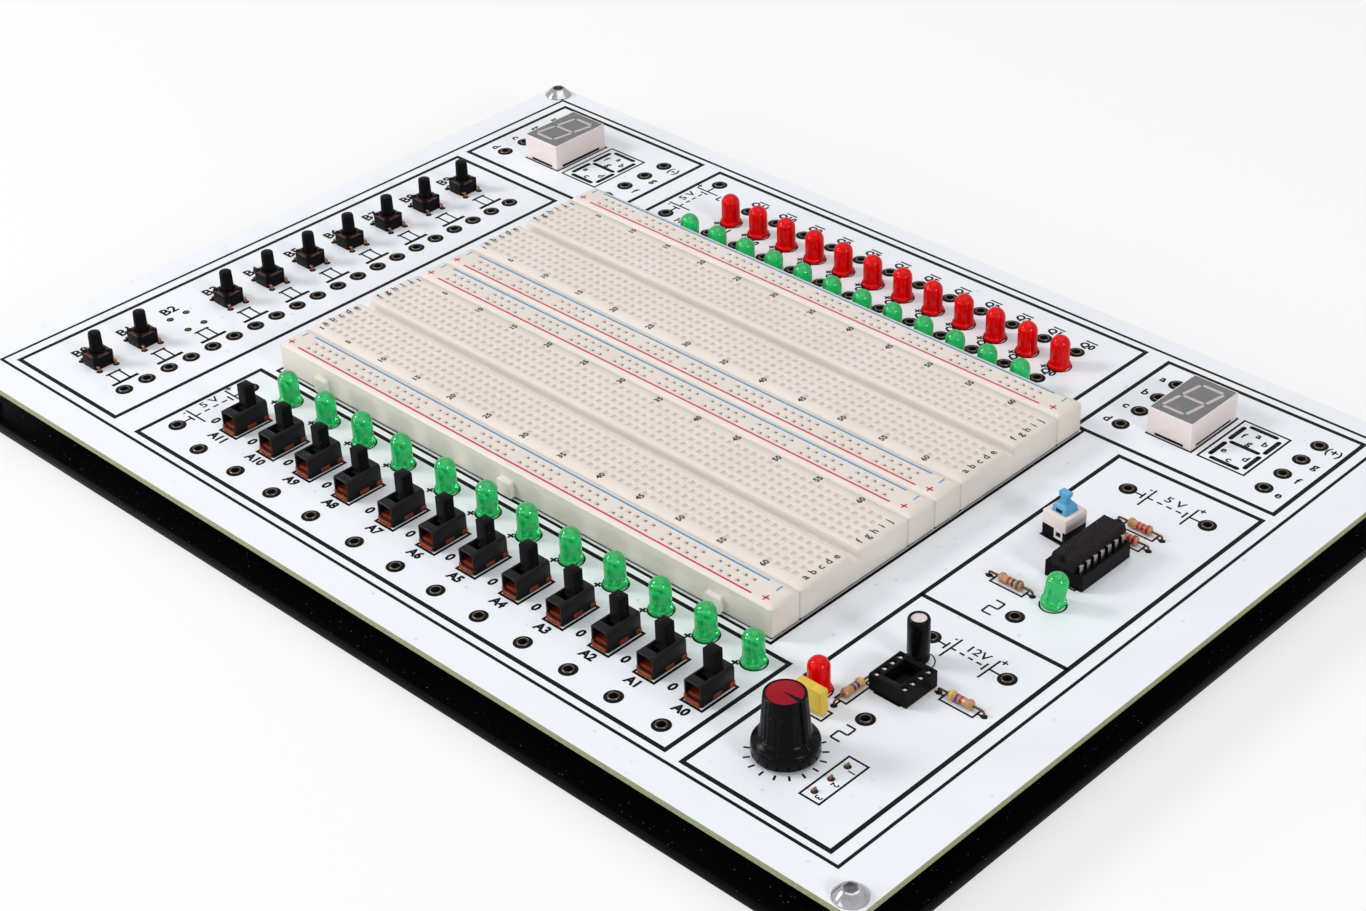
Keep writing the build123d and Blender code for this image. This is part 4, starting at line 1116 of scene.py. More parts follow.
@dataclass
class BoardPrint:
    """The black print on the white board."""

    layout: Layout
    thick: float = 1.15
    thin: float = 0.82
    hair: float = 0.5
    dial: Point = (7.3, 8.8)
    ink: Shape = field(default_factory=Shape)

    def build(self) -> None:
        """Draw every frame, symbol and figure, and make them one piece."""
        self.frames()
        self.switch_prints()
        self.button_prints()
        self.lamp_prints()
        self.display_prints()
        self.supplies()
        self.part_outlines()
        self.knob_prints()
        self.ink.piece("board_print", [PRINT])

    def line(self, start: Point, end: Point, width: float) -> None:
        """Straight stroke between two points.

        Args:
            start: one end.
            end: the other end.
            width: width of the stroke.
        """
        length = math.dist(start, end)
        angle = math.degrees(math.atan2(end[1] - start[1], end[0] - start[0]))
        stroke = Shape.block((0, -width / 2, 0), (length, width / 2, INK))
        self.ink.add(stroke, at(*start) @ turn(angle))

    def frame(self, left: float, right: float, low: float, high: float, width: float) -> None:
        """Rectangle whose stroke is centred on its edges.

        Args:
            left: its left edge.
            right: its right edge.
            low: its near edge.
            high: its far edge.
            width: width of the stroke.
        """
        outline = Shape()
        size = Matrix.Diagonal((right - left + width, high - low + width, 1, 1))
        bmesh.ops.create_grid(outline.bm, x_segments=1, y_segments=1, size=0.5, matrix=size)
        inner = list(outline.bm.faces)
        bmesh.ops.inset_region(
            outline.bm, faces=inner, thickness=width, use_even_offset=True, use_boundary=True
        )
        bmesh.ops.delete(outline.bm, geom=inner, context="FACES")
        self.ink.add(outline.raised(INK), at((left + right) / 2, (low + high) / 2))

    def ring(self, x: float, y: float, outer: float, inner: float, steps: int = 28) -> None:
        """Round stroke between two diameters."""
        rings = [(inner / 2, 0), (outer / 2, 0), (outer / 2, INK), (inner / 2, INK)]
        self.ink.add(Shape.turned(rings, steps, closed=True), at(x, y))

    def write(
        self, text: str, x: float, y: float, height: float = 2.2, weight: float = 0.035,
        along: Along = Along.X, width: float = 1.0,
    ) -> None:
        """Figures or letters centred on a point."""
        letters = Shape.lettering(text, height, weight, width)
        self.ink.add(letters, at(x, y) @ turn(along.value))

    def frames(self) -> None:
        """The border and the frames round each circuit."""
        self.frame(-139.95, 139.95, -97.25, 97.25, self.thin)
        for edges in (
            (-136.3, -96.1, -94.3, 52.4), (-136.3, -80.2, 56.6, 94.7), (-73.2, 73.4, 56.4, 94.5),
            (80.5, 136.5, 56.1, 94.3), (96.1, 136.0, -94.9, 52.4), (-86.8, 91.0, -94.6, -57.2),
        ):
            self.frame(*edges, self.thick)
        self.line((96.1, -20.0), (136.0, -20.0), self.thick)
        self.frame(-83.3, 83.3, -54.7, 55.7, 0.8)

    def switch_prints(self) -> None:
        """Outline, resting mark and name of each slide switch."""
        layout = self.layout
        for k, x in enumerate(reversed(layout.switch_x)):
            self.frame(x - 2.8, x + 3.2, layout.switch_y - 5.7, layout.switch_y + 5.1, 0.65)
            self.write("0", x - 7.0, layout.switch_y - 3.7, 2.6, 0.06)
            self.write(f"A{k}", x - 0.4, layout.switch_y - 8.0, 2.45, 0.065)

    def button_prints(self) -> None:
        """Contact symbol and name of each button."""
        layout = self.layout
        for k in range(10):
            y = layout.button_y + layout.button_pitch * k
            self.write(f"B{k}", layout.button_x - 7.9, y, 3.2, 0.04, Along.Y)
            thin, bar = layout.button_x + 6.6, layout.button_x + 11.7
            self.line((thin, y - 2.6), (thin, y + 1.7), 0.7)
            self.line((bar, y - 4.4), (bar, y + 3.4), 1.0)
            for step in (-1.9, 1.1):
                self.line((thin, y + step), (bar, y + step), self.hair)
        for x, y in layout.bare_holes():
            self.ring(x, y, 1.9, 1.1, 16)

    def lamp_prints(self) -> None:
        """Ring, polarity and name of each lamp."""
        layout = self.layout
        columns = layout.lamp_columns()
        lamps = [(x, layout.switch_lamp_y) for x in layout.switch_x]
        lamps += [(x + layout.red_shift, layout.red_y) for x in columns]
        lamps += [(x, layout.green_y) for x in columns]
        lamps += [layout.clock_lamp, layout.pulse_lamp]
        for x, y in lamps:
            self.ring(x, y, 6.4, 5.6)
        for x in layout.switch_x:
            self.write("+", x - 2.9, layout.switch_lamp_y - 2.7, 2.5, 0.06)
        for k, x in enumerate(reversed(columns)):
            self.write("+", x - 2.2, layout.red_y - 2.6, 2.4, 0.05)
            self.write(f"Q{k}", x + (0.4 if k < 10 else 1.3), 71.2, 2.25, 0.06)
            self.write(f"Q{k}", x + 0.3, 87.4, 2.25, 0.065)
            self.line((x - 1.5, 89.25), (x + 2.1, 89.25), 0.48)
        self.write("L", -62.7, 83.3, 2.3)
        self.write("H", -62.3, 66.9, 2.3)
        for x, y in (spot for group in layout.sockets().values() for spot in group):
            self.ring(x, y, 4.4, 2.8, 24)

    def display_prints(self) -> None:
        """Socket letters, outlines and segment key of both displays."""
        layout = self.layout
        for (x, y), pair, common in zip(layout.displays, layout.display_socket_x, ("(-)", "(+)")):
            self.frame(x - 6.3, x + 6.6, y - 9.7, y + 9.7, 0.5)
            for letter, height in zip("abcd", layout.display_socket_y):
                self.write(letter, pair[0] - 4.0, height + 0.3, 2.6, 0.04)
            for letter, height in zip((common, "g", "f", "e"), layout.display_socket_y):
                self.write(letter, pair[1] + 4.3, height - 0.2, 2.6, 0.035)
            self.segment_key(x + 14.9, y + 0.2)

    def segment_key(self, x: float, y: float) -> None:
        """Small drawing that names the seven segments.

        Args:
            x: place of its middle along X.
            y: place of its middle along Y.
        """
        self.frame(x - 6.5, x + 6.4, y - 9.8, y + 9.9, 0.55)
        bars = (
            ((-3.5, 8.5), (3.4, 8.5)), ((-3.6, 0.1), (3.7, 0.1)), ((-3.5, -8.4), (3.6, -8.4)),
            ((-4.8, 1.4), (-4.8, 7.1)), ((5.0, 1.3), (5.0, 7.1)),
            ((-4.7, -7.0), (-4.7, -1.2)), ((4.9, -7.0), (4.9, -1.2)),
        )
        for start, end in bars:
            self.line((x + start[0], y + start[1]), (x + end[0], y + end[1]), 1.2)
            for dot in (start, end):
                self.ring(x + dot[0], y + dot[1], 1.2, 0.02, 12)
        letters = {
            "f": (-3.0, 4.4), "a": (0.0, 6.5), "b": (3.0, 4.4), "g": (0.0, 2.5),
            "e": (-3.0, -3.7), "c": (0.1, -6.4), "d": (3.0, -3.7),
        }
        for letter, (dx, dy) in letters.items():
            self.write(letter, x + dx, y + dy, 2.2, 0.035)

    def supply(self, minus: Point, plus: Point, volts: str) -> None:
        """Battery symbol between two supply sockets, with its sign and voltage.

        Args:
            minus: the negative socket.
            plus: the positive socket.
            volts: the voltage, written beside the symbol.
        """
        length = math.dist(minus, plus)
        angle = math.atan2(plus[1] - minus[1], plus[0] - minus[0])
        run, across = (math.cos(angle), math.sin(angle)), (-math.sin(angle), math.cos(angle))

        def spot(distance: float, side: float) -> Point:
            """Point at a distance along the symbol and to its left."""
            return tuple(m + distance * r + side * a for m, r, a in zip(minus, run, across))

        first, last = 4.2, length - 6.2
        self.line(spot(2.0, 0), spot(first, 0), self.hair)
        self.line(spot(last + 1.25, 0), spot(length - 2.0, 0), self.hair)
        for start in (first, last):
            self.line(spot(start, -1.3), spot(start, 1.3), self.hair)
            self.line(spot(start + 1.25, -3.8), spot(start + 1.25, 3.8), 0.5)
        dashes = (last - first - 1.25) / 4
        for k in range(4):
            begin = first + 1.35 + dashes * k
            self.line(spot(begin, 0), spot(begin + 0.58 * dashes, 0), self.hair)
        along = Along.X if abs(run[0]) > 0.5 else Along.Y
        self.write(volts, *spot(length / 2 + 0.4, 2.7), 2.4, 0.02, along, 1.15)
        self.write("-", *spot(first + 0.2, 3.4), 1.8, 0.04, along)
        self.write("+", *spot(length - 3.8, 3.9), 2.1, 0.04, along)

    def supplies(self) -> None:
        """The four battery symbols."""
        layout = self.layout
        self.supply(*layout.switch_supply, "5 V")
        self.supply(*layout.lamp_supply, "5 V")
        self.supply(*layout.pulse_supply, "5 V")
        self.supply(*layout.clock_supply, "12V")

    def wave(self, x: float, y: float) -> None:
        """Square wave beside an output socket.

        Args:
            x: place of its first corner along X.
            y: place of its first corner along Y.
        """
        steps = ((0, 0), (2.4, 0), (2.4, -2.5), (0, -2.5), (0, -5.1), (2.5, -5.1))
        for start, end in zip(steps, steps[1:]):
            self.line((x + start[0], y + start[1]), (x + end[0], y + end[1]), self.hair)

    def resistor_box(self, x: float, y: float, along: Along) -> None:
        """Outline with a stroke at each end, where a resistor is fitted.

        Args:
            x: place of its middle along X.
            y: place of its middle along Y.
            along: direction of the resistor.
        """
        if along is Along.X:
            self.frame(x - 4.4, x + 4.4, y - 1.55, y + 1.55, self.hair)
            for side in (-1, 1):
                self.line((x + side * 4.4, y), (x + side * 6.9, y), self.hair)
            return
        self.frame(x - 1.55, x + 1.55, y - 3.9, y + 3.9, self.hair)
        for side in (-1, 1):
            self.line((x, y + side * 3.9), (x, y + side * 6.3), self.hair)

    def part_outlines(self) -> None:
        """Outlines under the small parts of the two generators."""
        layout = self.layout
        self.wave(109.6, -10.8)
        self.wave(113.2, -64.2)
        for place in ((117.65, 30.9), (117.65, 25.7), (108.6, -4.7), (126.5, -43.9)):
            self.resistor_box(*place, Along.X)
        self.resistor_box(107.2, -55.4, Along.Y)
        x, y = layout.push_switch
        box = Shape.block((-3.9, -3.9, 0), (3.9, 3.9, INK))
        self.ink.add(box, at(x, y) @ turn(layout.push_turn))
        for (x, y), half in zip(layout.chips, (9.0, 5.0)):
            self.frame(x - 3.4, x + 3.4, y - half - 0.2, y + half, self.hair)
        x, y = layout.can
        self.ring(x + 0.2, y - 0.2, 7.4, 6.8)
        x, y = layout.film
        self.frame(x - 4.1, x + 4.1, y - 1.7, y + 1.7, self.hair)

    def knob_prints(self) -> None:
        """Dial round the knob, and the numbered box of its tags."""
        layout = self.layout
        x, y = layout.knob
        for k in range(15):
            angle = math.radians(-150 + 300 * k / 14)
            run = (math.cos(angle), math.sin(angle))
            inner, outer = ((x + far * run[0], y + far * run[1]) for far in self.dial)
            self.line(inner, outer, self.hair)
        self.frame(120.15, 125.3, -86.35, -71.4, 0.5)
        for k, (tag_x, tag_y) in enumerate(reversed(layout.tags)):
            self.write(str(k + 1), tag_x + 1.9, tag_y - 0.9, 1.8, 0.02, Along.MINUS_Y)


@dataclass
class Breadboards:
    """The two solderless breadboards: strips with their holes, pads, lines and figures."""

    layout: Layout
    top: float = 23.1
    pitch: float = 2.54
    columns: int = 63
    grid_x: float = -0.65
    hole: float = 1.5
    rail_y: float = 22.75
    line_gap: float = 2.95
    line_end: float = 75.8
    figures_y: float = 15.9

    def build(self) -> None:
        """Make the strips, then what is printed on them."""
        self.strips("terminal_strips", "terminal_strip_blocks", self.terminal_cells())
        self.strips("bus_strips", "bus_strip_blocks", self.rail_cells())
        self.pads()
        self.prints()

    def middle(self) -> list[float]:
        """Height along Y of each breadboard's middle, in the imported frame."""
        return [PRINT_Y + y for _, y in self.layout.breadboards]

    def terminal_cells(self) -> list[Point]:
        """Where the holes of the terminal strips are.

        Returns:
            Lowest and highest Y of each block of five rows.
        """
        near, far = self.pitch, 6 * self.pitch
        spans = ((-far, -near), (near, far))
        return [(y + low, y + high) for y in self.middle() for low, high in spans]

    def rail_cells(self) -> list[Point]:
        """Lowest and highest Y of each pair of rail rows."""
        return [
            (y + side * self.rail_y - self.pitch, y + side * self.rail_y + self.pitch)
            for y in self.middle() for side in (-1, 1)
        ]

    def holds(self, x: float, rail: bool) -> bool:
        """Whether a column has holes: all do on a terminal strip, five in six on a rail.

        Args:
            x: place of the column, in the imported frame.
            rail: whether the strip is a bus strip.

        Returns:
            True where it has them.
        """
        column = round((x - PRINT_X - self.grid_x) / self.pitch) + self.columns // 2
        if not 0 <= column < self.columns:
            return False
        return not rail or (2 <= column < self.columns - 2 and (column - 2) % 6 != 5)

    def strips(self, node: str, name: str, cells: list[Point]) -> None:
        """Cut the holes of one kind of strip into a copy of its solids.

        Args:
            node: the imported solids.
            name: the new piece's name.
            cells: lowest and highest Y of each block of hole rows.
        """
        rail = node == "bus_strips"
        strip = Shape.copy_of(node).soften(0.5, 2, 60)
        bm = strip.bm
        left = PRINT_X + self.grid_x - self.columns * self.pitch / 2
        for k in range(self.columns + 1):
            self.slice(bm, (left + self.pitch * k, 0, 0), (1, 0, 0))
        rows = {
            round(low + self.pitch * k, 4) for low, high in cells
            for k in range(round((high - low) / self.pitch) + 1)
        }
        for y in sorted(rows):
            self.slice(bm, (0, y, 0), (0, 1, 0))
        inside = [
            face for face in self.tops(bm)
            if self.holds(face.calc_center_median().x, rail)
            and any(low < face.calc_center_median().y < high for low, high in cells)
        ]
        margin = (self.pitch - self.hole) / 2
        bmesh.ops.inset_individual(bm, faces=inside, thickness=margin, use_even_offset=True)
        funnel = bmesh.ops.inset_individual(
            bm, faces=inside, thickness=0.12, depth=-0.12, use_even_offset=True
        )
        # On a rail the funnel and ledge take a slightly darker colour: the contact's colour with a
        # little painted shade.
        if rail:
            for face in funnel["faces"] + inside:
                face.material_index = 1
            bmesh.ops.inset_individual(bm, faces=inside, thickness=0.45, depth=-0.06)
        # Walls and floor of each hole are darker: painted shade of the hole, with the contact's
        # own colour on a terminal strip.
        depth = -0.6 if rail else -0.25
        walls = bmesh.ops.inset_individual(bm, faces=inside, thickness=0.02, depth=depth)
        for face in walls["faces"] + inside:
            face.material_index = 2
        shades = [IVORY, RAIL_CONTACT_AND_SHADE, RAIL_HOLE_SHADE] if rail else [IVORY, IVORY, TERMINAL_CONTACT_AND_SHADE]
        strip.piece(name, shades, slot="ivory_plastic", replaces=(node,))

    def tops(self, bm: bmesh.types.BMesh) -> list[bmesh.types.BMFace]:
        """Faces on the level of the strips' top."""
        return [
            face for face in bm.faces
            if face.normal.z > 0.9 and abs(face.calc_center_median().z - self.top) < 0.01
        ]

    def slice(self, bm: bmesh.types.BMesh, place: Corner, normal: Corner) -> None:
        """Cut the top faces along a line.

        Args:
            bm: the strips.
            place: a point on the cut.
            normal: direction across the cut.
        """
        faces = self.tops(bm)
        edges = {edge for face in faces for edge in face.edges}
        verts = {vert for face in faces for vert in face.verts}
        bmesh.ops.bisect_plane(
            bm, geom=[*faces, *edges, *verts], dist=0.0001, plane_co=place, plane_no=normal
        )

    def pads(self) -> None:
        """Pads under the strips, coloured near black for the dark line under each strip."""
        Shape.dress("breadboard_pads", "foam_pads", FOAM, "foam_pad", 0.15)

    def stroke(self, kind: Shape, x: float, y: float, along_x: float, along_y: float) -> None:
        """Flat bar centred on a point of the strips' top."""
        bar = Shape.block((-along_x / 2, -along_y / 2, 0), (along_x / 2, along_y / 2, INK))
        kind.add(bar, at(x, y, self.top - BOARD_TOP))

    def prints(self) -> None:
        """Rail lines and signs, column figures and row letters."""
        red, blue, black = Shape(), Shape(), Shape()
        up = self.top - BOARD_TOP
        for _, middle in self.layout.breadboards:
            for side in (-1, 1):
                for kind, gap, left in (
                    (red, -self.line_gap, -76.4), (blue, self.line_gap, -77.1),
                ):
                    y, end = middle + side * self.rail_y + gap, self.line_end
                    self.stroke(kind, (left + end) / 2, y, end - left, 0.5)
                    inner = middle + side * self.rail_y + gap * 0.72
                    for x in (-79.9, 79.3):
                        self.stroke(kind, x, inner, 0.4, 2.0)
                        if kind is red:
                            self.stroke(kind, x, inner, 2.0, 0.4)
                for x, size in ((-80.9, 1.9), (80.5, 2.1)):
                    for k, letter in enumerate("abcde" if side < 0 else "fghij"):
                        start = -5.5 * self.pitch if side < 0 else 1.5 * self.pitch
                        place = at(x, middle + start + self.pitch * k, up) @ turn(90)
                        black.add(Shape.lettering(letter, size, 0.02), place)
                for number in [1] + list(range(5, 61, 5)):
                    x = self.grid_x + (number - 32) * self.pitch
                    place = at(x, middle + side * self.figures_y, up) @ turn(90)
                    black.add(Shape.lettering(str(number), 1.6, 0.045), place)
        red.piece("rail_lines_red", [RED_LINE])
        blue.piece("rail_lines_blue", [BLUE_LINE])
        black.piece("breadboard_figures", [NUMERAL])


@dataclass
class Sockets:
    """Tinned eyelets that take the jumper wires."""

    layout: Layout
    flange: float = 1.45
    bore: float = 1.02
    barrel: float = 1.26
    height: float = 0.4

    def build(self) -> None:
        """One piece for each group of eyelets."""
        eyelet = Shape.turned([
            (self.barrel, -2.1), (self.barrel, 0.0), (self.flange, 0.03), (self.flange, 0.2),
            (self.flange - 0.1, self.height - 0.05), (self.flange - 0.22, self.height),
            (self.bore + 0.06, self.height - 0.08), (self.bore, self.height - 0.22),
            (self.bore, -2.1),
        ], 18, closed=True)
        # The bore of each eyelet is near black: painted shade in the hole.
        eyelet.paint(1, lambda face: face.calc_center_median().xy.length < self.bore + 0.02)
        for group, places in self.layout.sockets().items():
            spots = [at(x, y) @ turn(11 * k) for k, (x, y) in enumerate(places)]
            Shape().add(eyelet, *spots).piece(
                group + "_eyelets", [TINNED, DARK_PARTS_AND_SHADE], slot="tinned_metal", replaces=(group,)
            )


@dataclass
class Lamps:
    """Round 5 mm lamps with a flange, and the lead frame inside each."""

    layout: Layout
    radius: float = 2.5
    flange: float = 2.9
    flange_height: float = 1.0
    height: float = 8.7
    shoulder: float = 3.5
    leans: Point = (9.4, 2.0)

    def lens(self) -> Shape:
        """Lens with a domed end and a flat on its flange.

        Returns:
            The lens, standing at the origin.
        """
        middle = self.height - self.radius
        dome = [
            (self.radius * math.cos(angle), middle + self.radius * math.sin(angle))
            for angle in map(math.radians, range(0, 90, 10))
        ]
        lens = Shape.turned([
            (0, 0.05), (self.flange - 0.1, 0.05), (self.flange, 0.15),
            (self.flange, self.flange_height - 0.12), (self.flange - 0.12, self.flange_height),
            (self.radius + 0.12, self.flange_height + 0.02),
            (self.radius, self.flange_height + 0.14), (self.radius, self.shoulder), *dome,
            (0, self.height),
        ], 32)
        for vert in lens.bm.verts:
            if vert.co.z < self.flange_height + 0.05:
                vert.co.x = min(vert.co.x, self.radius)
        return lens

    def leads(self) -> Shape:
        """Anvil and post inside the lens.

        Returns:
            Both, standing at the origin.
        """
        parts = Shape()
        for low, high, edge in (
            ((0.25, -0.3, 0.3), (0.8, 0.3, 3.4), 0.06),
            ((-0.15, -0.6, 3.2), (1.3, 0.6, 4.7), 0.12),
            ((-1.0, -0.3, 0.3), (-0.5, 0.3, 4.1), 0.06),
            ((-1.35, -0.3, 3.6), (-0.5, 0.3, 4.4), 0.08),
        ):
            parts.add(Shape.block(low, high, edge))
        return parts

    def row(self, name: str, places: list[Matrix], finish: Finish, slot: str, node: str) -> None:
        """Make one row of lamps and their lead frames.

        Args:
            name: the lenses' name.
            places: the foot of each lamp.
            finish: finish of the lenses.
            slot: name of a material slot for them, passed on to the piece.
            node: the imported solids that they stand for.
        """
        lenses, leads = Shape().add(self.lens(), *places), Shape().add(self.leads(), *places)
        lenses.piece(name, [finish], slot=slot, replaces=(node,), crease=50)
        leads.piece(name + "_leads", [LEAD_FRAME], slot="tinned_metal")

    def build(self) -> None:
        """Make the three groups of lamps."""
        layout = self.layout
        lift = self.flange * sum(math.sin(math.radians(abs(lean))) for lean in self.leans)
        lean = at(*layout.pulse_lamp, lift) @ turn(self.leans[1], "X") @ turn(self.leans[0], "Y")
        near = [at(x, layout.switch_lamp_y) for x in layout.switch_x]
        red = [at(x + layout.red_shift, layout.red_y) for x in layout.lamp_columns()]
        red.append(at(*layout.clock_lamp))
        green = [at(x, layout.green_y) for x in layout.lamp_columns()] + [lean]
        self.row("switch_lamp_lenses", near, GREEN, "green_lens", "switch_lamps")
        self.row("red_lamp_lenses", red, RED, "red_lens", "red_lamps")
        self.row("green_lamp_lenses", green, GREEN, "green_lens", "green_lamps")


@dataclass
class SlideSwitches:
    """Twelve slide switches: phenolic base, slotted cover and a lever each."""

    layout: Layout
    half_width: float = 2.5
    half_length: float = 5.0

    def build(self) -> None:
        """Make bases and covers as groups, and each lever by itself."""
        side, end, bases = self.half_width, self.half_length, Shape()
        base = Shape.block((-side, -end, 0.02), (side, end, 1.18), 0.08).paint(1)
        # The step inside takes the darker phenolic: painted shade under the cover.
        base.add(Shape.block((-2.0, 0.5 - end, 1.1), (2.0, end - 0.5, 2.18), 0.06).paint(2))
        for low in (-end - 0.38, end - 0.1):
            base.add(Shape.block((-2.02, low, 0.02), (2.02, low + 0.48, 0.95), 0.1))
        tab = Shape.block((side - 0.3, -1.5, 0.35), (side + 0.1, 1.1, 1.35), 0.08)
        tab.add(Shape.block((side - 0.6, 3.5, 0.35), (side + 0.12, 5.1, 1.5), 0.1))
        places = [
            at(x, self.layout.switch_y) @ turn(angle)
            for x in self.layout.switch_x for angle in (0, 180)
        ]
        bases.add(base, *places[::2]).add(tab, *places)
        bases.piece(
            "switch_bases", [PHENOLIC, MATTE_BLACK, PHENOLIC_PAINTED_SHADE], slot="phenolic",
            replaces=("slide_switch_bases",),
        )
        # The covers take the lighter black with its painted sheen.
        Shape.dress(
            "slide_switch_covers", "switch_covers", COVER_BLACK_WITH_SHEEN, "black_sheet", 0.13, 2, 25
        )
        for k in range(len(self.layout.switch_x)):
            Shape.dress(
                f"slide_lever_{k}", f"switch_lever_{k}", SATIN_BLACK, "lever_plastic", 0.16, 2,
                body=f"lever_{k}",
            )


@dataclass
class PushButtons:
    """Nine push buttons: body, riveted plate, bent legs and a tapered plunger."""

    layout: Layout
    body: float = 6.0
    height: float = 3.5
    plate: float = 0.3
    neck: float = 3.5
    tip: float = 3.2
    top: float = 9.0
    opening: float = 3.85
    margin: float = 0.12
    corner: float = 0.7
    leg_width: float = 0.7
    leg_steel: Point = (0.22, 0.16)

    def build(self) -> None:
        """Make bodies, plates, rivets and legs as groups, and each plunger by itself."""
        places = [at(x, y) for x, y in self.layout.buttons()]
        bases = Shape.copy_of("button_bases")
        posts = [
            edge for edge in bases.bm.edges
            if abs(edge.verts[0].co.z - edge.verts[1].co.z) > 2.5 and self.outer(edge)
        ]
        bases.bevel(posts, self.corner).soften(0.12, 2, 40)
        rim = self.body / 2 - 0.85
        rivet = Shape.turned([
            (0, 3.0), (0.78, 3.0), (0.78, self.height + 0.14), (0.6, self.height + 0.28),
            (0, self.height + 0.32),
        ], 16)
        corners = [move(i * rim, j * rim) for i in (-1, 1) for j in (-1, 1)]
        collar = Shape.turned([
            (1.92, 3.1), (2.45, 3.1), (2.45, self.height + 0.1), (2.3, self.height + 0.22),
            (2.0, self.height + 0.2), (1.92, self.height + 0.05),
        ], 28, closed=True)
        fixings = Shape().add(rivet, *corners).add(collar.paint(1))
        bases.add(fixings, *places)
        bases.piece(
            "button_bodies", [SATIN_BLACK, BOSS], slot="black_plastic", replaces=("button_bases",)
        )
        side = 2 * (self.body / 2 - self.margin)
        sheet = Shape.sheet(
            (side, side), self.corner + 0.05, [(0, 0, self.opening)],
            self.height - self.plate, self.height,
        )
        Shape().add(sheet, *places).piece(
            "button_cover_plates", [PLATE], slot="tinned_metal", replaces=("button_plates",)
        )
        self.legs(places)
        self.plungers()

    def outer(self, edge: bmesh.types.BMEdge) -> bool:
        """Whether an upright edge is at the corner of a button's body.

        Args:
            edge: edge of the bodies.

        Returns:
            True at a corner.
        """
        spot = edge.verts[0].co
        return any(
            abs(abs(spot.x - PRINT_X - x) - self.body / 2) < 0.05
            and abs(abs(spot.y - PRINT_Y - y) - self.body / 2) < 0.05
            for x, y in self.layout.buttons()
        )

    def legs(self, places: list[Matrix]) -> None:
        """Flat legs that bulge outwards before they enter the board.

        Args:
            places: the middle of each button.
        """
        profile = [
            (2.8, 1.15), (3.2, 1.12), (3.48, 0.95), (3.5, 0.6), (3.65, 0.2), (3.75, -1.9),
        ]
        leg = Shape()
        bm = leg.bm
        y, (out, up) = -self.leg_width / 2, self.leg_steel
        inner = [bm.verts.new((x, y, z)) for x, z in profile]
        outer = [bm.verts.new((x + out, y, z + up)) for x, z in profile]
        for k in range(len(profile) - 1):
            bm.faces.new((inner[k], inner[k + 1], outer[k + 1], outer[k]))
        leg.raised(self.leg_width, (0, 1, 0)).soften(0.05, 1, 50)
        dx, dy = self.layout.button_leg
        four = Shape().add(leg, *[move(0, j * dy) @ turn(k) for j in (-1, 1) for k in (0, 180)])
        Shape().add(four, *places).piece(
            "button_bent_legs", [COPPER], slot="tinned_metal", replaces=("button_legs",)
        )
        joint = Shape.turned(
            [(0.4, 0), (0.85, 0), (0.85, INK), (0.62, 0.12), (0.4, 0.16)], 16, closed=True
        )
        joints = Shape().add(joint, *[
            place @ move(i * dx, j * dy) for place in places for i in (-1, 1) for j in (-1, 1)
        ])
        joints.piece("button_pads", [DARK_PARTS_AND_SHADE], slot="tinned_metal")

    def plungers(self) -> None:
        """Tapered plungers with a rounded rim."""
        foot = self.height - self.plate - 0.1
        labels = [k for k in range(10) if k != self.layout.button_bare]
        for k, place in zip(labels, self.layout.buttons()):
            plunger = Shape.turned([
                (0, foot - 0.5), (2.2, foot - 0.5), (2.2, foot), (self.neck / 2, foot),
                (self.tip / 2, self.top - 0.45), (self.tip / 2 - 0.12, self.top - 0.14),
                (self.tip / 2 - 0.4, self.top), (0, self.top),
            ], 28)
            plunger.moved(at(*place)).piece(
                f"button_stem_{k}", [SATIN_BLACK], f"button_{k}", "black_plastic",
                (f"button_plunger_{k}",),
            )


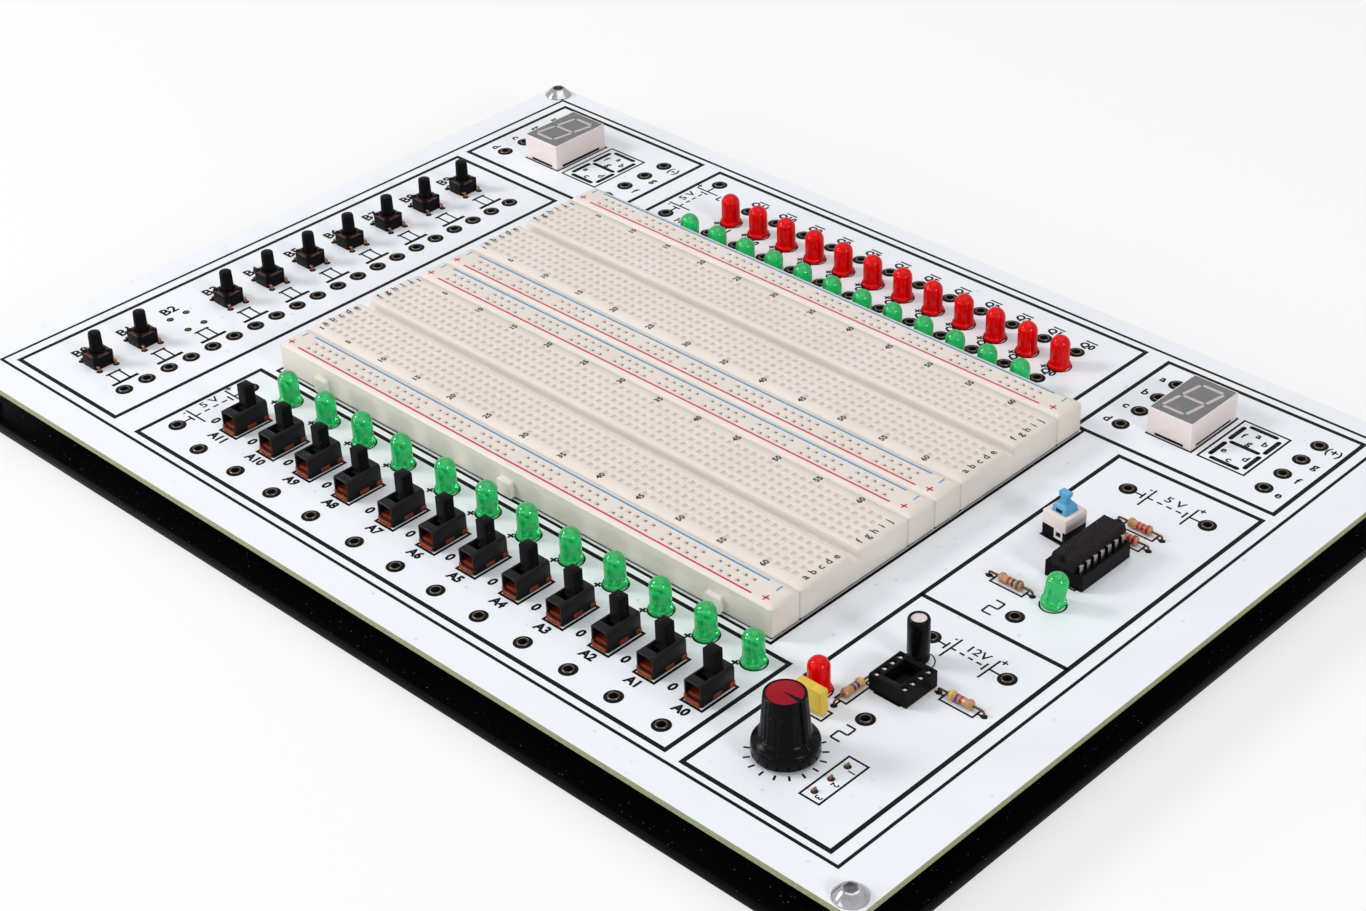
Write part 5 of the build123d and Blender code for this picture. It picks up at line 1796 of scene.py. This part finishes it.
@dataclass
class Displays:
    """Two seven segment displays."""

    layout: Layout
    height: float = 7.4
    half_width: float = 3.35
    half_height: float = 6.75
    slant: float = 0.153
    stroke: float = 0.9
    gap: float = 0.4
    taper: float = 0.35
    point: Point = (3.95, -7.0)

    def build(self) -> None:
        """Make housings, faces and segments."""
        Shape.dress("display_housings", "display_shells", SHELL, "display_shell", 0.12, 1, 50)
        # Dark block under each housing: painted shade in the gap under the display.
        under = Shape.block((-5.9, -9.1, 0.0), (5.9, 9.1, 0.95))
        floors = [at(x, y) for x, y in self.layout.displays]
        Shape().add(under, *floors).piece("display_painted_shade", [DARK_PARTS_AND_SHADE], slot="display_grey")
        Shape.dress("display_faces", "display_front_faces", GREY_FACE, "display_grey", 0.04, 1, 50)
        places = [at(x, y, self.height) for x, y in self.layout.displays]
        digits = Shape().add(self.digit(), *places)
        digits.piece("display_segments", [SEGMENT], slot="display_shell")
        dot = Shape.turned([(0, 0), (0.6, 0), (0.6, INK), (0, INK)], 16)
        spots = [place @ move(*self.point) for place in places]
        Shape().add(dot, *spots).piece("display_points", [POINT], slot="display_grey")

    def bar(self, start: Point, end: Point) -> Shape:
        """Pointed segment between two joints of the figure.

        Args:
            start: one joint.
            end: the other joint.

        Returns:
            The segment, one layer of ink high.
        """
        length = math.dist(start, end)
        angle = math.degrees(math.atan2(end[1] - start[1], end[0] - start[0]))
        half, gap, taper = self.stroke / 2, self.gap, self.taper
        outline = [
            (gap + taper, -half), (length - gap - taper, -half), (length - gap, -half * 0.2),
            (length - gap, half * 0.2), (length - gap - taper, half), (gap + taper, half),
            (gap, half * 0.2), (gap, -half * 0.2),
        ]
        return Shape.prism(outline, 0, INK).moved(move(*start) @ turn(angle))

    def digit(self) -> Shape:
        """The seven segments, leaning towards +X.

        Returns:
            The figure, standing at the origin.
        """
        x, y = self.half_width, self.half_height
        joints = dict(zip("pqrstu", ((-x, -y), (x, -y), (-x, 0), (x, 0), (-x, y), (x, y))))
        figure = Shape()
        for start, end in ("pq", "rs", "tu", "pr", "rt", "qs", "su"):
            figure.add(self.bar(joints[start], joints[end]))
        lean = Matrix(((1, self.slant, 0, 0.05), (0, 1, 0, -0.2), (0, 0, 1, 0), (0, 0, 0, 1)))
        return figure.moved(lean)


@dataclass
class PushSwitch:
    """Latching push switch of the pulse circuit."""

    layout: Layout

    def build(self) -> None:
        """Make base, housing and plunger."""
        base = Shape.copy_of("push_switch_base").soften(0.12)
        place = at(*self.layout.push_switch) @ turn(self.layout.push_turn)
        for x in (-2.7, -1.9, -1.1):
            base.add(Shape.block((x - 0.14, -3.62, 0.2), (x + 0.14, -3.4, 3.1), 0.04), place)
        base.add(Shape.block((0.62, -3.3, 1.42), (1.98, -2.9, 2.68)), place)
        base.piece(
            "push_base", [SATIN_BLACK], slot="black_plastic", replaces=("push_switch_base",)
        )
        Shape.dress(
            "push_switch_housing", "push_housing", WHITE_PLASTIC, "white_plastic", 0.15, 2, 50
        )
        self.plunger(place)

    def plunger(self, place: Matrix) -> None:
        """Block with an arched foot, a flared neck and a bar on top.

        Args:
            place: the switch's place on the board.
        """
        plunger = Shape.block((-2.0, -2.0, 5.45), (2.0, 2.0, 8.1), 0.14, 2)
        for low, high, width, depth, taper in (
            (8.0, 8.9, 3.9, 3.9, 0.72), (8.85, 10.6, 2.0, 1.9, 0.8), (10.4, 11.6, 2.5, 1.8, 1.15),
        ):
            part = Shape.block((-width / 2, -depth / 2, low), (width / 2, depth / 2, high))
            for vert in part.bm.verts:
                if vert.co.z > (low + high) / 2:
                    vert.co.x *= taper
                    vert.co.y *= min(taper, 1.0)
            plunger.add(part.soften(0.12, 2))
        plunger.moved(place).piece(
            "push_plunger", [BLUE_PLASTIC], "pulse_button", "blue_plastic",
            ("push_switch_plunger",),
        )
        arch = Shape.block((-0.95, -2.03, 6.85), (0.95, -1.9, 7.75), 0.25, 3)
        arch.moved(place).piece("push_arch", [DARK_PARTS_AND_SHADE], "pulse_button", "black_plastic")


@dataclass
class Chips:
    """The chip in its socket, and the socket left empty."""

    layout: Layout
    pitch: float = 2.54
    row: float = 3.81
    count: int = 4
    face: float = 7.7
    dent: Point = (-1.9, -7.2)

    def pins(self) -> list[Point]:
        """Places of the empty socket's pins: two rows along Y."""
        steps = [self.pitch * (k - (self.count - 1) / 2) for k in range(self.count)]
        return [(side * self.row, step) for side in (-1, 1) for step in steps]

    def build(self) -> None:
        """Make the sockets, their contacts, the chip and its legs."""
        Shape.dress(
            "chip_sockets", "chip_socket_frames", SATIN_BLACK, "black_plastic", 0.14, 1, 50
        )
        contact = Shape.block((-0.42, -0.28, 2.0), (0.42, 0.28, 3.75), 0.08)
        contact.add(Shape.block((-0.42, -0.62, 2.0), (0.42, -0.5, 4.0), 0.03))
        full, empty = (at(*place) for place in self.layout.chips)
        contacts = Shape().add(contact, *[empty @ move(x, y) for x, y in self.pins()])
        contacts.piece("socket_contacts", [CAN_TOP], slot="tinned_metal")
        # Dark block inside the empty socket: painted shade in its opening.
        shade = Shape.block((-2.3, -3.4, 0.05), (2.3, 3.4, 0.8)).moved(empty)
        shade.piece("socket_shade", [DARK_PARTS_AND_SHADE], slot="black_plastic")
        body = Shape.copy_of("chip_body").soften(0.1, 1, 30)
        dent = Shape.turned([(0, 0), (0.75, 0), (0.75, INK), (0, INK)], 20)
        body.add(dent.paint(1), full @ move(*self.dent, self.face))
        body.piece("chip_block", [CHIP_BLACK, DARK_PARTS_AND_SHADE], slot="chip_black", replaces=("chip_body",))
        Shape.dress("chip_legs", "chip_bent_legs", LEG, "tinned_metal", 0.08, 2, 50)


@dataclass
class Passives:
    """Resistors, the film capacitor and the can."""

    layout: Layout
    half_length: float = 3.1
    end: float = 1.15
    waist: float = 0.92
    axis: float = 1.2
    bend: float = 6.0
    resistors: tuple[tuple[Point, Along, tuple[Band, Band, Band]], ...] = (
        ((117.65, 30.9), Along.MINUS_X, (Band.RED, Band.RED, Band.RED)),
        ((117.65, 25.7), Along.MINUS_X, (Band.RED, Band.RED, Band.RED)),
        ((108.75, -4.7), Along.MINUS_X, (Band.BROWN, Band.BLACK, Band.RED)),
        ((107.2, -55.4), Along.MINUS_Y, (Band.YELLOW, Band.VIOLET, Band.BROWN)),
        ((126.55, -43.7), Along.X, (Band.YELLOW, Band.VIOLET, Band.RED)),
    )

    def build(self) -> None:
        """Make every small part and its wires."""
        self.bodies()
        self.wires()
        self.film()
        self.can()

    def bodies(self) -> None:
        """Resistor bodies with their colour bands."""
        finishes = [TAN] + [band.finish() for band in Band]
        order = list(Band)
        bodies = Shape()
        outline = [
            (0, -self.half_length), (0.55, -self.half_length), (0.95, -2.95), (self.end, -2.5),
            (self.end, -2.05), (1.02, -1.7), (self.waist, -1.45), (self.waist, 1.45), (1.02, 1.7),
            (self.end, 2.05), (self.end, 2.5), (0.95, 2.95), (0.55, self.half_length),
            (0, self.half_length),
        ]
        for place, along, bands in self.resistors:
            body = Shape.turned(outline, 24)
            marks = list(zip((-2.28, -0.9, 0.25), bands)) + [(2.28, Band.GOLD)]
            for middle, band in marks:
                radius = (self.end if abs(middle) > 2 else self.waist) + 0.025
                rings = [(radius - 0.1, middle - 0.36), (radius, middle - 0.33),
                         (radius, middle + 0.33), (radius - 0.1, middle + 0.36)]
                body.add(Shape.turned(rings, 24, closed=True).paint(1 + order.index(band)))
            bodies.add(body, at(*place, self.axis) @ turn(along.value) @ turn(90, "Y"))
        bodies.piece("resistors", finishes, slot="resistor_coat", replaces=("resistor_bodies",))

    def wires(self) -> None:
        """Round wires that bend down into the board."""
        bend = Shape.wire(
            [
                (2.9, 0, self.axis), (4.6, 0, self.axis), (self.bend, 0, self.axis),
                (self.bend, 0, 0.6), (self.bend, 0, -1.9),
            ],
            0.26,
        )
        solder = Shape.turned([(0, 0), (0.8, 0), (0.7, 0.1), (0.35, 0.35), (0, 0.4)], 14)
        wires = Shape()
        for place, along, _ in self.resistors:
            spot = at(*place) @ turn(along.value)
            wires.add(bend, spot, spot @ turn(180))
            wires.add(solder.paint(1), spot @ move(self.bend, 0), spot @ move(-self.bend, 0))
        pin = Shape.turned([(0, -1.9), (0.25, -1.9), (0.25, 0.7), (0, 0.7)], 10)
        wires.add(pin, *[at(*self.layout.film) @ move(side * 2.5, 0) for side in (-1, 1)])
        wires.add(pin, *[at(*self.layout.can) @ move(0, side) for side in (-1, 1)])
        wires.piece("part_wires", [WIRE, DARK_PARTS_AND_SHADE], slot="tinned_metal", replaces=("component_leads",))

    def film(self) -> None:
        """Moulded yellow box."""
        box = Shape.block((-3.6, -1.2, 0.5), (3.6, 1.2, 6.5), 0.28, 3)
        box.moved(at(*self.layout.film)).piece(
            "film_box", [YELLOW], slot="yellow_plastic", replaces=("film_capacitor",)
        )

    def can(self) -> None:
        """Sleeved can with a groove near its foot and a rolled rim round its end."""
        can = Shape.turned([
            (0, 0.5), (2.1, 0.5), (2.4, 0.6), (2.5, 0.85), (2.5, 1.5), (2.36, 1.75), (2.22, 2.1),
            (2.36, 2.45), (2.5, 2.75), (2.5, 10.7), (2.44, 11.1), (2.28, 11.38), (2.05, 11.5),
            (1.82, 11.42), (1.7, 11.2), (0, 11.2),
        ], 32)
        can.paint(
            1, lambda face: face.calc_center_median().z > 11.15
            and max(math.hypot(vert.co.x, vert.co.y) for vert in face.verts) < 1.75,
        )
        can.moved(at(*self.layout.can)).piece(
            "can_body", [SLEEVE, CAN_TOP], slot="can_sleeve", replaces=("can_capacitor",)
        )


@dataclass
class ClockControl:
    """Potentiometer and its fluted knob."""

    layout: Layout
    flutes: int = 24
    flute_depth: float = 0.16
    flute_ends: Point = (6.0, 15.3)
    rib_width: float = 0.9
    top: float = 15.6

    def build(self) -> None:
        """Make the potentiometer, then the knob on its shaft."""
        place = at(*self.layout.knob)
        pot = Shape.turned([
            (2.85, -5.6), (0, -5.6), (0, -9.0), (7.5, -9.0), (8.0, -8.6), (8.0, -1.9), (7.7, -1.6),
            (3.5, -1.6), (3.5, 2.85), (3.35, 3.0), (2.85, 3.0),
        ], 40, closed=True)
        pot.add(Shape.block((6.0, -6.3, -4.05), (9.6, 6.3, -2.65), 0.1))
        pot.moved(place).piece(
            "pot_case", [POT_METAL], slot="pot_metal", replaces=("potentiometer_body",)
        )
        Shape.dress("potentiometer_nut", "pot_nut", POT_METAL, "pot_metal", 0.2)
        Shape.dress("potentiometer_tags", "pot_tags", COPPER, "tinned_metal", 0.06)
        shaft = Shape.copy_of("knob_shaft")
        shaft.piece("pot_shaft", [POT_METAL], "knob", "shaft_metal", ("knob_shaft",))
        self.knob(place)

    def knob(self, place: Matrix) -> None:
        """Skirt, fluted grip, pointer rib and cap.

        Args:
            place: the knob's place on the board.
        """
        body = Shape.turned([
            (2.9, 12.55), (2.9, 3.5), (6.3, 3.3), (6.35, 0.8), (7.1, 0.8), (7.2, 0.95), (7.2, 3.4),
            (7.12, 3.8), (6.85, 4.2), (6.3, 4.6), (5.75, 5.05), (5.42, 5.5), (5.3, 6.1),
            (4.58, 15.2), (4.5, 15.45), (4.3, 15.6), (4.0, 15.6), (4.0, 14.4), (2.9, 14.4),
        ], 5 * self.flutes, closed=True)
        low, high = self.flute_ends
        for vert in body.bm.verts:
            radius = math.hypot(vert.co.x, vert.co.y)
            around = math.atan2(vert.co.y, vert.co.x)
            if low < vert.co.z < high and radius > 4.2:
                groove = 0.5 - 0.5 * math.cos(around * self.flutes)
                fade = min(1.0, (high - vert.co.z) / 0.3 + 0.4)
                shrink = 1 - self.flute_depth * groove ** 2 * fade / radius
                vert.co.x *= shrink
                vert.co.y *= shrink
        body.moved(place).piece("knob_grip", [KNOB], "knob", "knob_black", ("knob_body",))
        rib = Shape()
        outline = [
            (4.1, self.top), (4.9, self.top), (5.66, 5.7), (6.9, 4.35), (7.22, 3.9), (6.4, 3.9),
            (4.1, 6.0),
        ]
        rib.bm.faces.new([rib.bm.verts.new((x, -self.rib_width / 2, z)) for x, z in outline])
        rib.raised(self.rib_width, (0, 1, 0)).soften(0.12, 2).moved(place)
        rib.piece("knob_rib", [KNOB], "knob", "knob_black")
        cap = Shape.turned([(0, 14.4), (3.93, 14.4), (3.93, 15.5), (3.82, 15.55), (0, 15.56)], 48)
        cap.moved(place).piece("knob_disc", [CRIMSON], "knob", "knob_crimson", ("knob_cap",))
        pointer = Shape.prism(
            [(-0.1, -0.08), (4.25, -0.6), (4.25, 0.6), (-0.1, 0.08)],
            self.top - 0.05, self.top - 0.01,
        )
        pointer.moved(place).piece("knob_pointer", [KNOB], "knob", "knob_black")


@dataclass
class Studio:
    """Pale floor, soft lights and the camera."""

    focal: float = 69.368
    shift: Point = (-0.06689, -0.00684)
    place: Corner = (0.385726, -0.376987, 0.358641)
    right: Corner = (0.73696414, 0.67580227, -0.01323486)
    up: Corner = (-0.36478238, 0.41412768, 0.8339257)
    floor_glow: float = 0.55
    world_light: float = 0.3
    world_glow: float = 0.6

    def build(self) -> None:
        """Make the floor, the lights, the world and the camera."""
        self.floor()
        self.light("key_high", (-0.85, -0.61, 0.78), 0.34, 6.6)
        self.light("key_low", (-0.88, -1.0, 0.3), 0.24, 3.8)
        self.light("key_right", (1.18, -0.14, 0.53), 0.26, 4.7)
        self.light("overhead", (0.1, 0.3, 1.6), 1.6, 9.3)
        self.light("front", (-0.3, -1.5, 0.7), 0.9, 3.7)
        self.surroundings()
        self.camera()
        bpy.context.scene.view_settings.view_transform = "Standard"

    def seen(self, tree: bpy.types.NodeTree) -> bpy.types.NodeSocket:
        """Whether a ray comes from the camera, from a gloss or through glass.

        Args:
            tree: nodes of the floor's material or of the world.

        Returns:
            The output that is one for these rays and zero for the light itself.
        """
        rays = Effects.node(tree, "LightPath", {}).outputs
        seen = Effects.node(tree, "Math", {
            0: rays["Is Camera Ray"], 1: rays["Is Glossy Ray"],
        }, operation="ADD").outputs[0]
        return Effects.node(tree, "Math", {
            0: seen, 1: rays["Is Transmission Ray"],
        }, operation="ADD", use_clamp=True).outputs[0]

    def floor(self) -> None:
        """Wide pale floor, shown a little lighter to the camera."""
        mesh = bpy.data.meshes.new("floor")
        bm = bmesh.new()
        bmesh.ops.create_grid(bm, x_segments=1, y_segments=1, size=4.0)
        bm.to_mesh(mesh)
        bm.free()
        material = bpy.data.materials.new("pale_floor")
        material.use_nodes = True
        tree = material.node_tree
        surface = tree.nodes["Principled BSDF"].inputs
        surface["Base Color"].default_value = (0.93, 0.93, 0.935, 1.0)
        surface["Roughness"].default_value = 0.5
        surface["Specular IOR Level"].default_value = 0.2
        white = Effects.node(tree, "Emission", {"Color": (1.0, 1.0, 1.0, 1.0), "Strength": 1.0})
        share = Effects.node(
            tree, "Math", {0: self.seen(tree), 1: self.floor_glow}, operation="MULTIPLY"
        )
        both = Effects.node(tree, "MixShader", {
            0: share.outputs[0], 1: tree.nodes["Principled BSDF"].outputs[0], 2: white.outputs[0],
        })
        tree.links.new(both.outputs[0], tree.nodes["Material Output"].inputs["Surface"])
        mesh.materials.append(material)
        floor = bpy.data.objects.new("floor", mesh)
        bpy.context.scene.collection.objects.link(floor)

    def light(self, name: str, place: Corner, size: float, power: float) -> None:
        """Square area light that faces the object.

        Args:
            name: the light's name.
            place: where it stands, in metres.
            size: length of its sides, in metres.
            power: its power, in watts.
        """
        data = bpy.data.lights.new(name, "AREA")
        data.size = size
        data.energy = power
        lamp = bpy.data.objects.new(name, data)
        lamp.location = place
        lamp.rotation_mode = "QUATERNION"
        lamp.rotation_quaternion = (-Vector(place)).to_track_quat("-Z", "Y")
        bpy.context.scene.collection.objects.link(lamp)

    def surroundings(self) -> None:
        """Even white world, shown lighter than it shines."""
        world = bpy.data.worlds.new("studio")
        world.use_nodes = True
        tree = world.node_tree
        back = tree.nodes["Background"].inputs
        back["Color"].default_value = (0.99, 0.99, 1.0, 1.0)
        strength = Effects.node(tree, "Math", {
            0: self.seen(tree), 1: self.world_glow, 2: self.world_light,
        }, operation="MULTIPLY_ADD")
        tree.links.new(strength.outputs[0], back["Strength"])
        bpy.context.scene.world = world

    def camera(self) -> None:
        """Camera at the photograph's angle."""
        data = bpy.data.cameras.new("camera")
        data.lens = self.focal
        data.sensor_width = 36.0
        data.shift_x, data.shift_y = self.shift
        data.clip_start, data.clip_end = 0.01, 20.0
        camera = bpy.data.objects.new("camera", data)
        right, up = Vector(self.right), Vector(self.up)
        turned = Matrix((right, up, right.cross(up))).transposed().to_4x4()
        camera.matrix_world = Matrix.Translation(self.place) @ turned
        bpy.context.scene.collection.objects.link(camera)
        bpy.context.scene.camera = camera


def main() -> None:
    """Build every sub-assembly, then the studio."""
    layout = Layout()
    for maker in (
        Chassis, BoardPrint, Breadboards, Sockets, Lamps, SlideSwitches, PushButtons, Displays,
        PushSwitch, Chips, Passives, ClockControl,
    ):
        log.info("building %s", maker.__name__)
        maker(layout).build()
    Studio().build()


if __name__ == "__main__":
    main()
